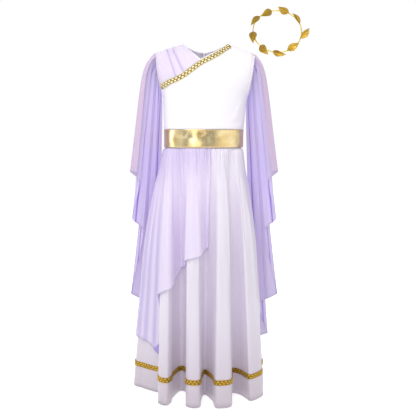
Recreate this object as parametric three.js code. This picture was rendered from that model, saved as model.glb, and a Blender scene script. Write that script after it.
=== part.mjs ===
import * as THREE from 'three';

// A child's princess dress in the Roman manner, worn but empty: white satin bodice and gathered skirt,
// lavender chiffon over one shoulder, over one side of the skirt and in two long cape sleeves, gold belt
// and braid, and the gold leaf circlet that belongs to it. Millimetres. X runs to the wearer's left, Y to
// the back and Z up. The origin lies midway between the shoulders.

// Cloth and clearances
const satin = 1.6;
const chiffon = 1.2;
const foilCloth = 2;
const braidThickness = 1.6;
const seamGap = 0.6;
const layerGap = 0.35;

// Levels, from the neck down
const neckPointZ = 15;
const leftTipZ = -10;
const rightTipZ = -14;
const beltTopZ = -234;
const beltBottomZ = -286;
const skirtTopZ = -287.5;
const hemZ = -1000;

// Shoulders and neckline, as places across the front
const leftNeckX = -60;
const rightNeckX = 72;
const leftTipX = -143;
const rightTipX = 149;
const neckLowX = -10;
const neckLowZ = -33;
const backNeckX = 6;
const backNeckZ = -6;

// How fast the body rounds forward and back below the shoulder seam, and how square it is in plan
const frontRounding = 42;
const backRounding = 30;
const squareness = 2.2;

// The torso by level: half-widths to the side seam or armhole edge on the wearer's right (left column)
// and left (right column), how far the form reaches past the armhole edge, and its half-depths
const torso = [
  { z: 15, left: 143, right: 149, spare: 12, front: 88, back: 84 },
  { z: -14, left: 142, right: 149, spare: 12, front: 88, back: 84 },
  { z: -61, left: 137, right: 143, spare: 13, front: 89, back: 84 },
  { z: -90, left: 132, right: 138, spare: 11, front: 90, back: 83 },
  { z: -112, left: 127, right: 134, spare: 6, front: 90, back: 82 },
  { z: -130, left: 122.5, right: 130, spare: 1.6, front: 89, back: 81 },
  { z: -140, left: 121, right: 128, spare: 0, front: 89, back: 80 },
  { z: -165, left: 119.5, right: 123.5, spare: 0, front: 88, back: 79 },
  { z: -195, left: 118.5, right: 120, spare: 0, front: 86, back: 79 },
  { z: -234, left: 117.5, right: 116.5, spare: 0, front: 85, back: 80 },
  { z: -286, left: 117.5, right: 115, spare: 0, front: 87, back: 82 },
];

// Colours
const whiteSatin = 0xf6f4f8;
const lavenderChiffon = 0xcabce0;
const goldFoil = 0xe0bc78;
const goldBraid = 0xc9a24a;
const goldLeaf = 0xc8963a;
const goldWire = 0xe8cf74;
const zipNylon = 0xefeef2;

const clamp = (value) => Math.min(1, Math.max(0, value));
const mix = (from, to, share) => from + (to - from) * share;
const ease = (value) => clamp(value) * clamp(value) * (3 - 2 * clamp(value));
const degrees = (angle) => (angle * Math.PI) / 180;

// A smooth curve through a column of a table whose rows run from one end of the key to the other
function lookup(table, key, at, name) {
  const last = table.length - 1;
  const falling = table[last][key] < table[0][key];
  const before = (row) => (falling ? row[key] >= at : row[key] <= at);
  if (!before(table[0])) {
    return table[0][name];
  }
  if (before(table[last])) {
    return table[last][name];
  }
  const i = table.findLastIndex(before);
  const slope = (k) => {
    const a = table[Math.max(0, k - 1)];
    const b = table[Math.min(last, k + 1)];
    return (b[name] - a[name]) / (b[key] - a[key]);
  };
  const span = table[i + 1][key] - table[i][key];
  const t = (at - table[i][key]) / span;
  const bend = slope(i) * span;
  const nextBend = slope(i + 1) * span;
  const rise = table[i + 1][name] - table[i][name];
  return table[i][name] + bend * t + (3 * rise - 2 * bend - nextBend) * t * t
    + (bend + nextBend - 2 * rise) * t * t * t;
}

// Turns a list of quads into a closed body with its faces pointing out
function closedBody(points, quads) {
  const index = quads.flatMap(([a, b, c, d]) => [a, b, c, a, c, d]);
  let volume = 0;
  for (let i = 0; i < index.length; i += 3) {
    const [a, b, c] = [points[index[i]], points[index[i + 1]], points[index[i + 2]]];
    volume += a.dot(new THREE.Vector3().crossVectors(b, c));
  }
  if (volume < 0) {
    index.reverse();
  }
  const geometry = new THREE.BufferGeometry().setFromPoints(points);
  geometry.setIndex(index);
  geometry.computeVertexNormals();
  return geometry;
}

// The direction square to a sheet of points at one of them
function sheetNormal(rows, i, j) {
  const line = rows[i];
  const along = new THREE.Vector3().subVectors(
    line[Math.min(line.length - 1, j + 1)],
    line[Math.max(0, j - 1)],
  );
  const down = new THREE.Vector3().subVectors(
    rows[Math.min(rows.length - 1, i + 1)][j],
    rows[Math.max(0, i - 1)][j],
  );
  return new THREE.Vector3().crossVectors(down, along).normalize();
}

// Cloth: a sheet of points given a thickness, half to each side, with its four edges closed
function wall(rows, thickness) {
  const high = rows.length;
  const wide = rows[0].length;
  const points = [];
  for (const side of [0.5, -0.5]) {
    rows.forEach((line, i) => line.forEach((point, j) => {
      points.push(point.clone().addScaledVector(sheetNormal(rows, i, j), side * thickness));
    }));
  }
  const outer = (i, j) => i * wide + j;
  const inner = (i, j) => high * wide + i * wide + j;
  const quads = [];
  for (let i = 0; i < high - 1; i += 1) {
    for (let j = 0; j < wide - 1; j += 1) {
      quads.push([outer(i, j), outer(i + 1, j), outer(i + 1, j + 1), outer(i, j + 1)]);
      quads.push([inner(i, j), inner(i, j + 1), inner(i + 1, j + 1), inner(i + 1, j)]);
    }
  }
  for (let j = 0; j < wide - 1; j += 1) {
    const low = high - 1;
    quads.push([outer(0, j), outer(0, j + 1), inner(0, j + 1), inner(0, j)]);
    quads.push([outer(low, j + 1), outer(low, j), inner(low, j), inner(low, j + 1)]);
  }
  for (let i = 0; i < high - 1; i += 1) {
    const end = wide - 1;
    quads.push([outer(i + 1, 0), outer(i, 0), inner(i, 0), inner(i + 1, 0)]);
    quads.push([outer(i, end), outer(i + 1, end), inner(i + 1, end), inner(i, end)]);
  }
  return closedBody(points, quads);
}

// The same sheet moved out by a distance, for what lies on it
function movedOut(rows, distance) {
  return rows.map((line, i) => line.map((point, j) => {
    const away = typeof distance === 'function' ? distance(i, j) : distance;
    return point.clone().addScaledVector(sheetNormal(rows, i, j), away);
  }));
}

const costume = new THREE.Group();

function addPiece(name, geometry, color, roughness, metalness) {
  const material = new THREE.MeshStandardMaterial({ color, roughness, metalness });
  const mesh = new THREE.Mesh(geometry, material);
  mesh.name = name;
  costume.add(mesh);
  return mesh;
}

// Bodice. The form is worked out from a place across and a level, on the front or on the back.
const front = -1;
const back = 1;

function shoulderZ(x) {
  if (x < 0) {
    return mix(leftTipZ, neckPointZ, clamp((x - leftTipX) / (leftNeckX - leftTipX)));
  }
  return mix(rightTipZ, neckPointZ, clamp((rightTipX - x) / (rightTipX - rightNeckX)));
}

function frontTopZ(x) {
  if (x < leftNeckX || x > rightNeckX) {
    return shoulderZ(x);
  }
  const neckX = x < neckLowX ? leftNeckX : rightNeckX;
  const share = (x - neckLowX) / (neckX - neckLowX);
  return mix(neckLowZ, neckPointZ, mix(share, share * share, 0.1));
}

function backTopZ(x) {
  if (x < leftNeckX || x > rightNeckX) {
    return shoulderZ(x);
  }
  const neckX = x < backNeckX ? leftNeckX : rightNeckX;
  const share = (x - backNeckX) / (neckX - backNeckX);
  const bend = x < backNeckX ? 1 : 0.2;
  return mix(backNeckZ, neckPointZ, mix(share, share * share, bend));
}

function bodyPoint(x, z, side) {
  const edge = lookup(torso, 'z', z, x < 0 ? 'left' : 'right');
  const full = edge + lookup(torso, 'z', z, 'spare');
  const depth = lookup(torso, 'z', z, side === front ? 'front' : 'back');
  const rounding = side === front ? frontRounding : backRounding;
  const fall = 1 - Math.exp(-Math.max(0, shoulderZ(x) - z) / rounding);
  const across = clamp(Math.abs(x) / full);
  const curve = (1 - across ** squareness) ** (1 / squareness);
  return new THREE.Vector3(x, side * (seamGap + depth * fall * curve), z);
}

// Columns of a bodice panel, as turns round the body from 0 at the centre to 90 degrees at the sides,
// with one on each mark so that the corners of the neckline stay sharp
function turnsBetween(marks, step) {
  const turns = [marks[0]];
  for (let m = 1; m < marks.length; m += 1) {
    const count = Math.max(1, Math.round((marks[m] - marks[m - 1]) / step));
    for (let k = 1; k <= count; k += 1) {
      turns.push(mix(marks[m - 1], marks[m], k / count));
    }
  }
  return turns;
}

const turnAt = (x) => (Math.asin(x / (x < 0 ? -leftTipX : rightTipX)) * 180) / Math.PI;

// Levels of a bodice panel as shares of its height, closer where the shoulders round over
const bodiceShares = [0, 0.22, 0.42, 0.58, 0.7, 0.8, 0.88, 0.945, 1];

function bodicePanel(turns, topZ, side) {
  const rows = [];
  for (const up of bodiceShares) {
    rows.push(turns.map((turn) => {
      const share = Math.sin(degrees(turn));
      const topX = share * (share < 0 ? -leftTipX : rightTipX);
      const z = mix(beltTopZ + layerGap, topZ(topX), up);
      const edge = lookup(torso, 'z', z, share < 0 ? 'left' : 'right');
      return bodyPoint(share * edge, z, side);
    }));
  }
  return rows;
}

const bodiceStep = 8;
const zipHalfGap = 1.2;
const frontMarks = [-90, turnAt(leftNeckX), turnAt(neckLowX), turnAt(rightNeckX), 90];
const frontTurns = turnsBetween(frontMarks, bodiceStep);
const frontSheet = bodicePanel(frontTurns, frontTopZ, front);
addPiece('bodice_front', wall(frontSheet, satin), whiteSatin, 0.45, 0);

const backLeftTurns = turnsBetween([turnAt(zipHalfGap), turnAt(rightNeckX), 90], bodiceStep);
const backRightTurns = turnsBetween([-90, turnAt(leftNeckX), turnAt(-zipHalfGap)], bodiceStep);
const backLeftSheet = bodicePanel(backLeftTurns, backTopZ, back);
const backRightSheet = bodicePanel(backRightTurns, backTopZ, back);
addPiece('bodice_back_left', wall(backLeftSheet, satin), whiteSatin, 0.45, 0);
addPiece('bodice_back_right', wall(backRightSheet, satin), whiteSatin, 0.45, 0);

// Neck braid: its middle line across the front, from the neck point on the wearer's left shoulder,
// past the low point of the neckline, to the other armhole
const braidWidth = 14;
const braidCourse = [
  { x: -122.5, z: -112 },
  { x: -97, z: -98.5 },
  { x: -68, z: -87 },
  { x: -39, z: -67.5 },
  { x: -11, z: -46.5 },
  { x: 18, z: -30.5 },
  { x: 46, z: -14 },
  { x: 76, z: 9.5 },
];
const braidSteps = 26;

function braidSheet() {
  const course = new THREE.CatmullRomCurve3(braidCourse.map(({ x, z }) => new THREE.Vector3(x, 0, z)));
  const rows = [[], [], []];
  for (let k = 0; k <= braidSteps; k += 1) {
    const centre = course.getPointAt(k / braidSteps);
    const tangent = course.getTangentAt(k / braidSteps);
    [1, 0, -1].forEach((edge, i) => {
      const x = centre.x - (edge * tangent.z * braidWidth) / 2;
      const z = centre.z + (edge * tangent.x * braidWidth) / 2;
      rows[i].push(bodyPoint(x, Math.min(z, shoulderZ(x) - satin), front));
    });
  }
  return rows;
}

const onSatin = satin / 2 + layerGap;
addPiece(
  'neck_trim',
  wall(movedOut(braidSheet(), onSatin + braidThickness / 2 + layerGap / 2), braidThickness),
  goldBraid,
  0.4,
  0.8,
);

// Shoulder drape: chiffon laid in soft pleats from the shoulder seam down to the braid
const drapePleats = [
  { at: 0.1, height: 1.2, width: 0.06 },
  { at: 0.25, height: 1.6, width: 0.07 },
  { at: 0.425, height: 3.6, width: 0.045 },
  { at: 0.62, height: 3.6, width: 0.045 },
  { at: 0.79, height: 1.4, width: 0.07 },
  { at: 0.93, height: 1.2, width: 0.05 },
];
const drapeColumns = 30;
const drapeRows = 7;
const drapeShoulder = { out: leftTipX + 2, in: leftNeckX - 1.5 };
// Its lower edge, just above the braid
const drapeEdge = [
  { x: -14, z: -36.6 },
  { x: -39, z: -56.5 },
  { x: -68, z: -78 },
  { x: -97, z: -89.5 },
  { x: -127, z: -104 },
];
const drapeBelowSeam = 1.5;
const drapeInsideEdge = 1;

function drapeSheet() {
  const [edgeIn, edgeOut] = [drapeEdge[0], drapeEdge[drapeEdge.length - 1]];
  const rows = [];
  for (let i = 0; i < drapeRows; i += 1) {
    const down = i / (drapeRows - 1);
    const line = [];
    for (let j = 0; j <= drapeColumns; j += 1) {
      const across = j / drapeColumns;
      const topX = mix(drapeShoulder.out, drapeShoulder.in, across);
      const lowX = mix(edgeOut.x, edgeIn.x, across);
      const topZ = shoulderZ(topX) - drapeBelowSeam;
      const lowZ = lookup(drapeEdge, 'x', lowX, 'z');
      const z = mix(topZ, lowZ, down);
      const edge = drapeInsideEdge - lookup(torso, 'z', z, 'left');
      line.push(bodyPoint(Math.max(edge, mix(topX, lowX, down)), z, front));
    }
    rows.push(line);
  }
  return rows;
}

function pleatHeight(across, down) {
  let height = 0;
  for (const pleat of drapePleats) {
    const from = (across - pleat.at) / pleat.width;
    height += pleat.height * Math.exp(-from * from) * mix(1, 0.45, down);
  }
  return height;
}

function drapeOffset(i, j) {
  return onSatin + chiffon / 2 + pleatHeight(j / drapeColumns, i / (drapeRows - 1));
}
const drape = movedOut(drapeSheet(), drapeOffset);
addPiece('shoulder_drape', wall(drape, chiffon), lavenderChiffon, 0.6, 0);

// Belt: a band of foil cloth, open at the centre back where the zip passes
const beltColumns = 56;
const beltRows = 3;
const beltEndTurn = 1.4;

// A point of the waist, by its turn from the centre front towards the wearer's left
function waistPoint(turn, z, inset) {
  const x = Math.sin(degrees(turn));
  const y = -Math.cos(degrees(turn));
  const halfWidth = lookup(torso, 'z', z, x < 0 ? 'left' : 'right') - inset;
  const halfDepth = lookup(torso, 'z', z, y < 0 ? 'front' : 'back') - inset;
  return new THREE.Vector3(
    Math.sign(x) * halfWidth * Math.abs(x) ** (2 / squareness),
    Math.sign(y) * halfDepth * Math.abs(y) ** (2 / squareness),
    z,
  );
}

function beltSheet() {
  const rows = [];
  for (let i = 0; i < beltRows; i += 1) {
    const z = mix(beltTopZ - layerGap, beltBottomZ, i / (beltRows - 1));
    const line = [];
    for (let j = 0; j <= beltColumns; j += 1) {
      const turn = mix(-180 + beltEndTurn, 180 - beltEndTurn, j / beltColumns);
      line.push(waistPoint(turn, z, 0));
    }
    rows.push(line);
  }
  return rows;
}
addPiece('belt', wall(beltSheet(), foilCloth), goldFoil, 0.3, 0.85);

// Skirt. Each row is one deep fold at the hem, seen from above and going from the wearer's right side
// round the front to the left and the back: its near flank, its crest with the crest's half-width, its
// far flank, the valley after it, and the turns at the waist that its crest and valley hang from.
const folds = [
  {
    name: 'A', nearX: -196, nearY: 42, crestX: -210, crestY: 6, half: 16,
    farX: -156, farY: -60, valleyX: -116, valleyY: -99,
    crestTurn: -92, valleyTurn: -76,
  },
  {
    name: 'B', nearX: -131, nearY: -152, crestX: -112, crestY: -184, half: 12,
    farX: -91, farY: -128, valleyX: -66, valleyY: -57,
    crestTurn: -60, valleyTurn: -38,
  },
  {
    name: 'C', nearX: -40, nearY: -112, crestX: -29, crestY: -203, half: 17,
    farX: -8, farY: -152, valleyX: 1, valleyY: -93,
    crestTurn: -14, valleyTurn: 5,
  },
  {
    name: 'D', nearX: 25, nearY: -150, crestX: 54, crestY: -205, half: 20,
    farX: 80, farY: -152, valleyX: 79, valleyY: -80,
    crestTurn: 25, valleyTurn: 42,
  },
  {
    name: 'E', nearX: 107, nearY: -98, crestX: 141, crestY: -143, half: 15,
    farX: 173, farY: -92, valleyX: 163, valleyY: -48,
    crestTurn: 57, valleyTurn: 76,
  },
  {
    name: 'F', nearX: 172, nearY: -22, crestX: 178, crestY: 14, half: 14,
    farX: 164, farY: 52, valleyX: 136, valleyY: 66,
    crestTurn: 92, valleyTurn: 107,
  },
  {
    name: 'G', nearX: 156, nearY: 104, crestX: 139, crestY: 137, half: 14,
    farX: 108, farY: 126, valleyX: 92, valleyY: 86,
    crestTurn: 120, valleyTurn: 134,
  },
  {
    name: 'H', nearX: 86, nearY: 136, crestX: 64, crestY: 174, half: 17,
    farX: 40, farY: 142, valleyX: 30, valleyY: 94,
    crestTurn: 148, valleyTurn: 163,
  },
  {
    name: 'I', nearX: 16, nearY: 140, crestX: -4, crestY: 182, half: 16,
    farX: -26, farY: 146, valleyX: -38, valleyY: 92,
    crestTurn: 180, valleyTurn: 196,
  },
  {
    name: 'J', nearX: -52, nearY: 136, crestX: -74, crestY: 170, half: 16,
    farX: -98, farY: 138, valleyX: -105, valleyY: 92,
    crestTurn: 211, valleyTurn: 226,
  },
  {
    name: 'K', nearX: -134, nearY: 108, crestX: -153, crestY: 132, half: 14,
    farX: -172, farY: 104, valleyX: -172, valleyY: 62,
    crestTurn: 240, valleyTurn: 255,
  },
];

// How far each level has opened from the waist to the hem
const flare = [
  { z: -287.5, open: 0 },
  { z: -293, open: 0.07 },
  { z: -303, open: 0.105 },
  { z: -320, open: 0.14 },
  { z: -340, open: 0.172 },
  { z: -362, open: 0.205 },
  { z: -405, open: 0.3 },
  { z: -437, open: 0.37 },
  { z: -487, open: 0.47 },
  { z: -525, open: 0.535 },
  { z: -580, open: 0.61 },
  { z: -658, open: 0.685 },
  { z: -744, open: 0.765 },
  { z: -844, open: 0.862 },
  { z: -929, open: 0.94 },
  { z: -1000, open: 1 },
];
const skirtLevels = [skirtTopZ, -293, -303, -325, -360, -420, -500, -600, -720, -860, hemZ];
const waistInset = 6.5;
const gatherCount = 44;
const columnsPerGather = 3;
const skirtColumns = gatherCount * columnsPerGather;

// Height of the gathers below the belt
const gathers = [
  { z: -287.5, height: 1 },
  { z: -293, height: 2.2 },
  { z: -303, height: 2.8 },
  { z: -325, height: 2.2 },
  { z: -360, height: 1 },
  { z: -420, height: 0 },
];
const flatByZipTurn = 7;

const stationsPerFold = 5;
const hemDivisions = 20;
const hemCurve = new THREE.CatmullRomCurve3(
  folds.flatMap((fold) => {
    const crest = new THREE.Vector3(fold.crestX, fold.crestY, 0);
    const along = new THREE.Vector3(-fold.crestY, fold.crestX, 0).normalize();
    return [
      new THREE.Vector3(fold.nearX, fold.nearY, 0),
      crest.clone().addScaledVector(along, -fold.half),
      crest.clone().addScaledVector(along, fold.half),
      new THREE.Vector3(fold.farX, fold.farY, 0),
      new THREE.Vector3(fold.valleyX, fold.valleyY, 0),
    ];
  }),
  true,
  'centripetal',
);
hemCurve.arcLengthDivisions = folds.length * stationsPerFold * hemDivisions;
const hemLengths = hemCurve.getLengths();
const hemLength = hemLengths[hemLengths.length - 1];

// Share of the hem's length at a station counted along the folds, and the waist turn that hangs there
const shareAt = (station) => hemLengths[Math.round(station * hemDivisions)] / hemLength;
const crestStation = 1.5;
const valleyStation = 4;
const hangings = folds.flatMap((fold, k) => [
  { share: shareAt(k * stationsPerFold + crestStation), turn: fold.crestTurn },
  { share: shareAt(k * stationsPerFold + valleyStation), turn: fold.valleyTurn },
]);
const firstHanging = hangings[0];
const lastHanging = hangings[hangings.length - 1];
hangings.unshift({ share: lastHanging.share - 1, turn: lastHanging.turn - 360 });
hangings.push({ share: firstHanging.share + 1, turn: firstHanging.turn + 360 });

const hangTurn = (share) => lookup(hangings, 'share', share, 'turn');

// A point of the skirt, by its share of the way round the hem and its level
function skirtPoint(share, z) {
  const round = share - Math.floor(share);
  const hem = hemCurve.getPointAt(round);
  const turn = hangTurn(round);
  const waist = waistPoint(turn, Math.max(z, beltBottomZ), waistInset);
  const open = lookup(flare, 'z', z, 'open');
  const calm = ease(Math.abs(Math.abs(turn) - 180) / flatByZipTurn);
  const wave = Math.cos(2 * Math.PI * gatherCount * round);
  const puff = lookup(gathers, 'z', z, 'height') * wave * calm;
  const away = new THREE.Vector3(waist.x, waist.y, 0).normalize();
  const point = new THREE.Vector3(mix(waist.x, hem.x, open), mix(waist.y, hem.y, open), z);
  return point.addScaledVector(away, puff);
}

// Draws the end of a row back from a seam, towards its neighbour
function drawBack(end, neighbour) {
  end.addScaledVector(new THREE.Vector3().subVectors(neighbour, end).normalize(), seamGap);
}

function skirtSheet(fromColumn, toColumn, levelsAt) {
  const shares = [];
  for (let k = fromColumn; k <= toColumn; k += 1) {
    shares.push(k / skirtColumns);
  }
  const rowCount = levelsAt(shares[0]).length;
  const rows = [];
  for (let i = 0; i < rowCount; i += 1) {
    const line = shares.map((share) => skirtPoint(share, levelsAt(share)[i]));
    drawBack(line[0], line[1]);
    drawBack(line[line.length - 1], line[line.length - 2]);
    rows.push(line);
  }
  return rows;
}

// The seams lie on the column nearest to a station of their fold
function columnAt(foldName, station) {
  const k = folds.findIndex((fold) => fold.name === foldName);
  return Math.round(shareAt(k * stationsPerFold + station) * skirtColumns);
}
const farStation = 3;
const leftSeamColumn = 0;
const rightSeamColumn = columnAt('F', farStation);
const centreBackColumn = columnAt('I', crestStation);
const skirtPanels = [
  { name: 'skirt_front', from: leftSeamColumn, to: rightSeamColumn },
  { name: 'skirt_back_left', from: rightSeamColumn, to: centreBackColumn },
  { name: 'skirt_back_right', from: centreBackColumn, to: skirtColumns },
];
for (const panel of skirtPanels) {
  const sheet = skirtSheet(panel.from, panel.to, () => skirtLevels);
  addPiece(panel.name, wall(sheet, satin), whiteSatin, 0.4, 0);
}

// Hem braid: a closed course round the skirt, its ends meeting at the centre back
const hemBraidWidth = 13;
const hemBraidZ = -932;
const braidLevels = () => [hemBraidZ + hemBraidWidth / 2, hemBraidZ - hemBraidWidth / 2];
const roundToColumn = centreBackColumn + skirtColumns;
const hemBraidSheet = skirtSheet(centreBackColumn, roundToColumn, braidLevels);
addPiece(
  'hem_trim',
  wall(movedOut(hemBraidSheet, onSatin + braidThickness / 2), braidThickness),
  goldBraid,
  0.4,
  0.8,
);

// Overskirt: it hangs from the waist, from the valley at the centre front round the wearer's right side
// to the centre back, and its hem slants down to a corner in the valley between the first two folds
const overskirtHem = [
  { turn: -182, z: -770 },
  { turn: -150, z: -800 },
  { turn: -120, z: -828 },
  { turn: -95, z: -846 },
  { turn: -84, z: -858 },
  { turn: -76, z: -877 },
  { turn: -70, z: -735 },
  { turn: -64, z: -700 },
  { turn: -50, z: -668 },
  { turn: -38, z: -640 },
  { turn: -22, z: -608 },
  { turn: -14, z: -594 },
  { turn: 0, z: -580 },
  { turn: 14, z: -571 },
];
const sharedLevels = skirtLevels.slice(0, 7);
const loosePart = [0.3, 0.62, 1];
const overskirtFrontStation = 4.55;
const overskirtFrontColumn = columnAt('C', overskirtFrontStation);

function overskirtLevels(share) {
  const round = share - Math.floor(share);
  let turn = hangTurn(round);
  if (turn > overskirtHem[overskirtHem.length - 1].turn + 1) {
    turn -= 360;
  }
  const hem = lookup(overskirtHem, 'turn', turn, 'z');
  const lastShared = sharedLevels[sharedLevels.length - 1];
  return [...sharedLevels, ...loosePart.map((down) => mix(lastShared, hem, down))];
}

const overskirtEnd = skirtColumns + overskirtFrontColumn;
const overskirtSheet = skirtSheet(centreBackColumn, overskirtEnd, overskirtLevels);
const liftAtWaist = 0.3;
const liftAtHem = 3.5;

function overskirtLift(i) {
  return onSatin + chiffon / 2 + mix(liftAtWaist, liftAtHem, i / (overskirtSheet.length - 1));
}
addPiece('overskirt', wall(movedOut(overskirtSheet, overskirtLift), chiffon), lavenderChiffon, 0.6, 0);

// Cape sleeves. Each row is a crease of the folded cloth, from the free front edge to the back: its
// place along the armhole, then where it hangs at the reference level, how it leans out and back below
// that, and the level of its hem.
const sleeveLevelZ = -357;
const sleeveCreases = [
  { name: 'front edge', seam: 0, x: 196, lean: 0.092, y: -28, leanBack: 0, hem: -362 },
  { name: 'crease 1', seam: 0.07, x: 219, lean: 0.13, y: -13, leanBack: 0, hem: -357 },
  { name: 'valley 1', seam: 0.17, x: 186, lean: 0.104, y: -1, leanBack: 0.01, hem: -386 },
  { name: 'crease 2', seam: 0.27, x: 199.5, lean: 0.113, y: 14, leanBack: 0.02, hem: -501 },
  { name: 'valley 2', seam: 0.38, x: 168, lean: 0.08, y: 26, leanBack: 0.05, hem: -536 },
  { name: 'crease 3', seam: 0.49, x: 181.5, lean: 0.112, y: 42, leanBack: 0.06, hem: -738 },
  { name: 'valley 3', seam: 0.6, x: 148, lean: 0.045, y: 58, leanBack: 0.115, hem: -778 },
  { name: 'crease 4', seam: 0.71, x: 157, lean: 0.0873, y: 74, leanBack: 0.13, hem: -882 },
  { name: 'valley 4', seam: 0.85, x: 132, lean: 0.03, y: 88, leanBack: 0.15, hem: -905 },
  { name: 'back edge', seam: 1, x: 142, lean: 0.04, y: 102, leanBack: 0.16, hem: -880 },
];
const columnsPerPanel = 3;
const sleeveShares = [0, 0.03, 0.075, 0.14, 0.24, 0.38, 0.54, 0.7, 0.85, 1];
const seamReach = 23;
const seamOut = 2.2;
const seamFrontZ = -24;
const seamBackZ = -134;
const shoulderShare = 0.1;

// The armhole seam that a sleeve hangs from: over the shoulder tip from a little in front of it, and down
// the back edge of the armhole
function armholePoint(along, sign) {
  const tipZ = sign < 0 ? leftTipZ : rightTipZ;
  const overFront = along < shoulderShare;
  const z = overFront
    ? mix(seamFrontZ, tipZ, along / shoulderShare)
    : mix(tipZ, seamBackZ, (along - shoulderShare) / (1 - shoulderShare));
  const edge = lookup(torso, 'z', z, sign < 0 ? 'left' : 'right');
  const point = bodyPoint(sign * edge, z, overFront ? front : back);
  point.x += sign * seamOut;
  return point;
}

function sleevePoint(crease, down, sign) {
  const seam = armholePoint(crease.seam, sign);
  const z = mix(seam.z, crease.hem, down);
  const fan = (level) => new THREE.Vector3(
    sign * (crease.x + crease.lean * (sleeveLevelZ - level)),
    crease.y + crease.leanBack * (sleeveLevelZ - level),
    level,
  );
  const pull = Math.exp((z - seam.z) / seamReach);
  return fan(z).addScaledVector(new THREE.Vector3().subVectors(seam, fan(seam.z)), pull);
}

function sleeveSheet(sign) {
  const creases = [];
  for (let k = 0; k < sleeveCreases.length - 1; k += 1) {
    for (let part = 0; part < columnsPerPanel; part += 1) {
      const share = part / columnsPerPanel;
      const round = mix(share, ease(share), 0.5);
      const crease = {};
      for (const key of ['seam', 'x', 'lean', 'y', 'leanBack', 'hem']) {
        const blend = key === 'x' || key === 'lean' ? round : share;
        crease[key] = mix(sleeveCreases[k][key], sleeveCreases[k + 1][key], blend);
      }
      creases.push(crease);
    }
  }
  creases.push(sleeveCreases[sleeveCreases.length - 1]);
  return sleeveShares.map((down) => creases.map((crease) => sleevePoint(crease, down, sign)));
}
addPiece('sleeve_left', wall(sleeveSheet(1), chiffon), lavenderChiffon, 0.6, 0);
addPiece('sleeve_right', wall(sleeveSheet(-1), chiffon), lavenderChiffon, 0.6, 0);

// Zip: the slider at the top of the centre back and the pull tab that hangs from it
const sliderZ = -20;
const sliderSize = { width: 7, depth: 4.4, height: 9 };
const pullSize = { width: 5, depth: 1.4, length: 24, hinge: 0.7 };
const pullClear = 0.5;
const zipTop = bodyPoint(0, sliderZ, back);
const zipBelow = bodyPoint(0, sliderZ - 6, back);
const zipSlope = Math.atan2(zipBelow.y - zipTop.y, 6);
const zipOut = new THREE.Vector3(0, Math.cos(zipSlope), Math.sin(zipSlope));
const zipDown = new THREE.Vector3(0, Math.sin(zipSlope), -Math.cos(zipSlope));

function addZipPiece(name, size, outward, downward, color) {
  const geometry = new THREE.BoxGeometry(size.width, size.depth, size.height ?? size.length);
  const mesh = addPiece(name, geometry, color, 0.35, 0.7);
  mesh.rotation.x = zipSlope;
  mesh.position.copy(zipTop)
    .addScaledVector(zipOut, outward)
    .addScaledVector(zipDown, downward);
  return mesh;
}
const sliderOut = satin / 2 + layerGap + sliderSize.depth / 2;
addZipPiece('zip_slider', sliderSize, sliderOut, 0, zipNylon);
const pullOut = satin / 2 + layerGap + sliderSize.depth + pullClear + pullSize.depth / 2;
addZipPiece('zip_pull', pullSize, pullOut, pullSize.length / 2 - pullSize.hinge, zipNylon);

// Circlet: a wire ring, turned a little to the viewer, with leaves set along it that all point one way
const ringRadius = 71;
const ringWire = 1.4;
const ringTilt = 25;
const ringCentre = new THREE.Vector3(214.5, -10, 52.5);
const ringSegments = 54;
const circlet = new THREE.Group();
circlet.position.copy(ringCentre);
circlet.rotation.x = -degrees(ringTilt);
costume.add(circlet);
const ringGeometry = new THREE.TorusGeometry(ringRadius, ringWire, 6, ringSegments);
const ring = addPiece('wreath_wire', ringGeometry, goldWire, 0.3, 0.9);
ring.rotation.x = degrees(90);
circlet.add(ring);

// Leaves by the place of their base round the ring, from the right round by the top, the direction of
// their tip in the ring's plane, their roll about their own length, how far they rise off the wire, and
// their size
const leaves = [
  { around: 102, points: 221, roll: -27, rise: 18, length: 47, width: 24 },
  { around: 60, points: 164, roll: -52, rise: 29, length: 39, width: 25 },
  { around: 19, points: 128, roll: 12, rise: 21, length: 39, width: 17 },
  { around: 338, points: 46, roll: 33, rise: 22, length: 40, width: 22 },
  { around: 292, points: 23, roll: 24, rise: 26, length: 40, width: 24 },
  { around: 257, points: 328, roll: 52, rise: 24, length: 47, width: 20 },
  { around: 224, points: 298, roll: 30, rise: 18, length: 47, width: 25 },
  { around: 182, points: 268, roll: 7, rise: 13, length: 48, width: 25 },
  { around: 135, points: 234, roll: 0, rise: 12, length: 49, width: 20 },
];
const leafThickness = 1;
const leafFold = 26;
const leafCamber = 3;
const leafRows = 6;
const leafColumns = [-1, -0.55, 0, 0.55, 1];
const stemShare = 0.12;
const stemNestle = 0.4;

function leafSheet(length, width) {
  const rows = [];
  for (let i = 0; i <= leafRows; i += 1) {
    const along = i / leafRows;
    const belly = Math.sin(Math.PI * along ** 0.75) ** 0.9;
    const half = (width / 2) * Math.max(stemShare, belly);
    rows.push(leafColumns.map((across) => new THREE.Vector3(
      along * length,
      -Math.abs(across) * half * Math.sin(degrees(leafFold)) - leafCamber * 4 * along * (1 - along),
      across * half * Math.cos(degrees(leafFold)),
    )));
  }
  return rows;
}

leaves.forEach((leaf, k) => {
  const geometry = wall(leafSheet(leaf.length, leaf.width), leafThickness);
  geometry.rotateX(degrees(leaf.roll));
  geometry.rotateZ(-degrees(leaf.rise));
  geometry.rotateY(-degrees(leaf.points));
  const stemReach = ((stemShare * leaf.width) / 2) * Math.abs(Math.sin(degrees(leaf.roll)));
  const ahead = ringWire + leafThickness / 2 + stemNestle * stemReach;
  const mesh = addPiece(`leaf_${k + 1}`, geometry, goldLeaf, 0.35, 0.85);
  mesh.position.set(
    ringRadius * Math.cos(degrees(leaf.around)),
    -ahead,
    ringRadius * Math.sin(degrees(leaf.around)),
  );
  circlet.add(mesh);
});

export default costume;
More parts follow.
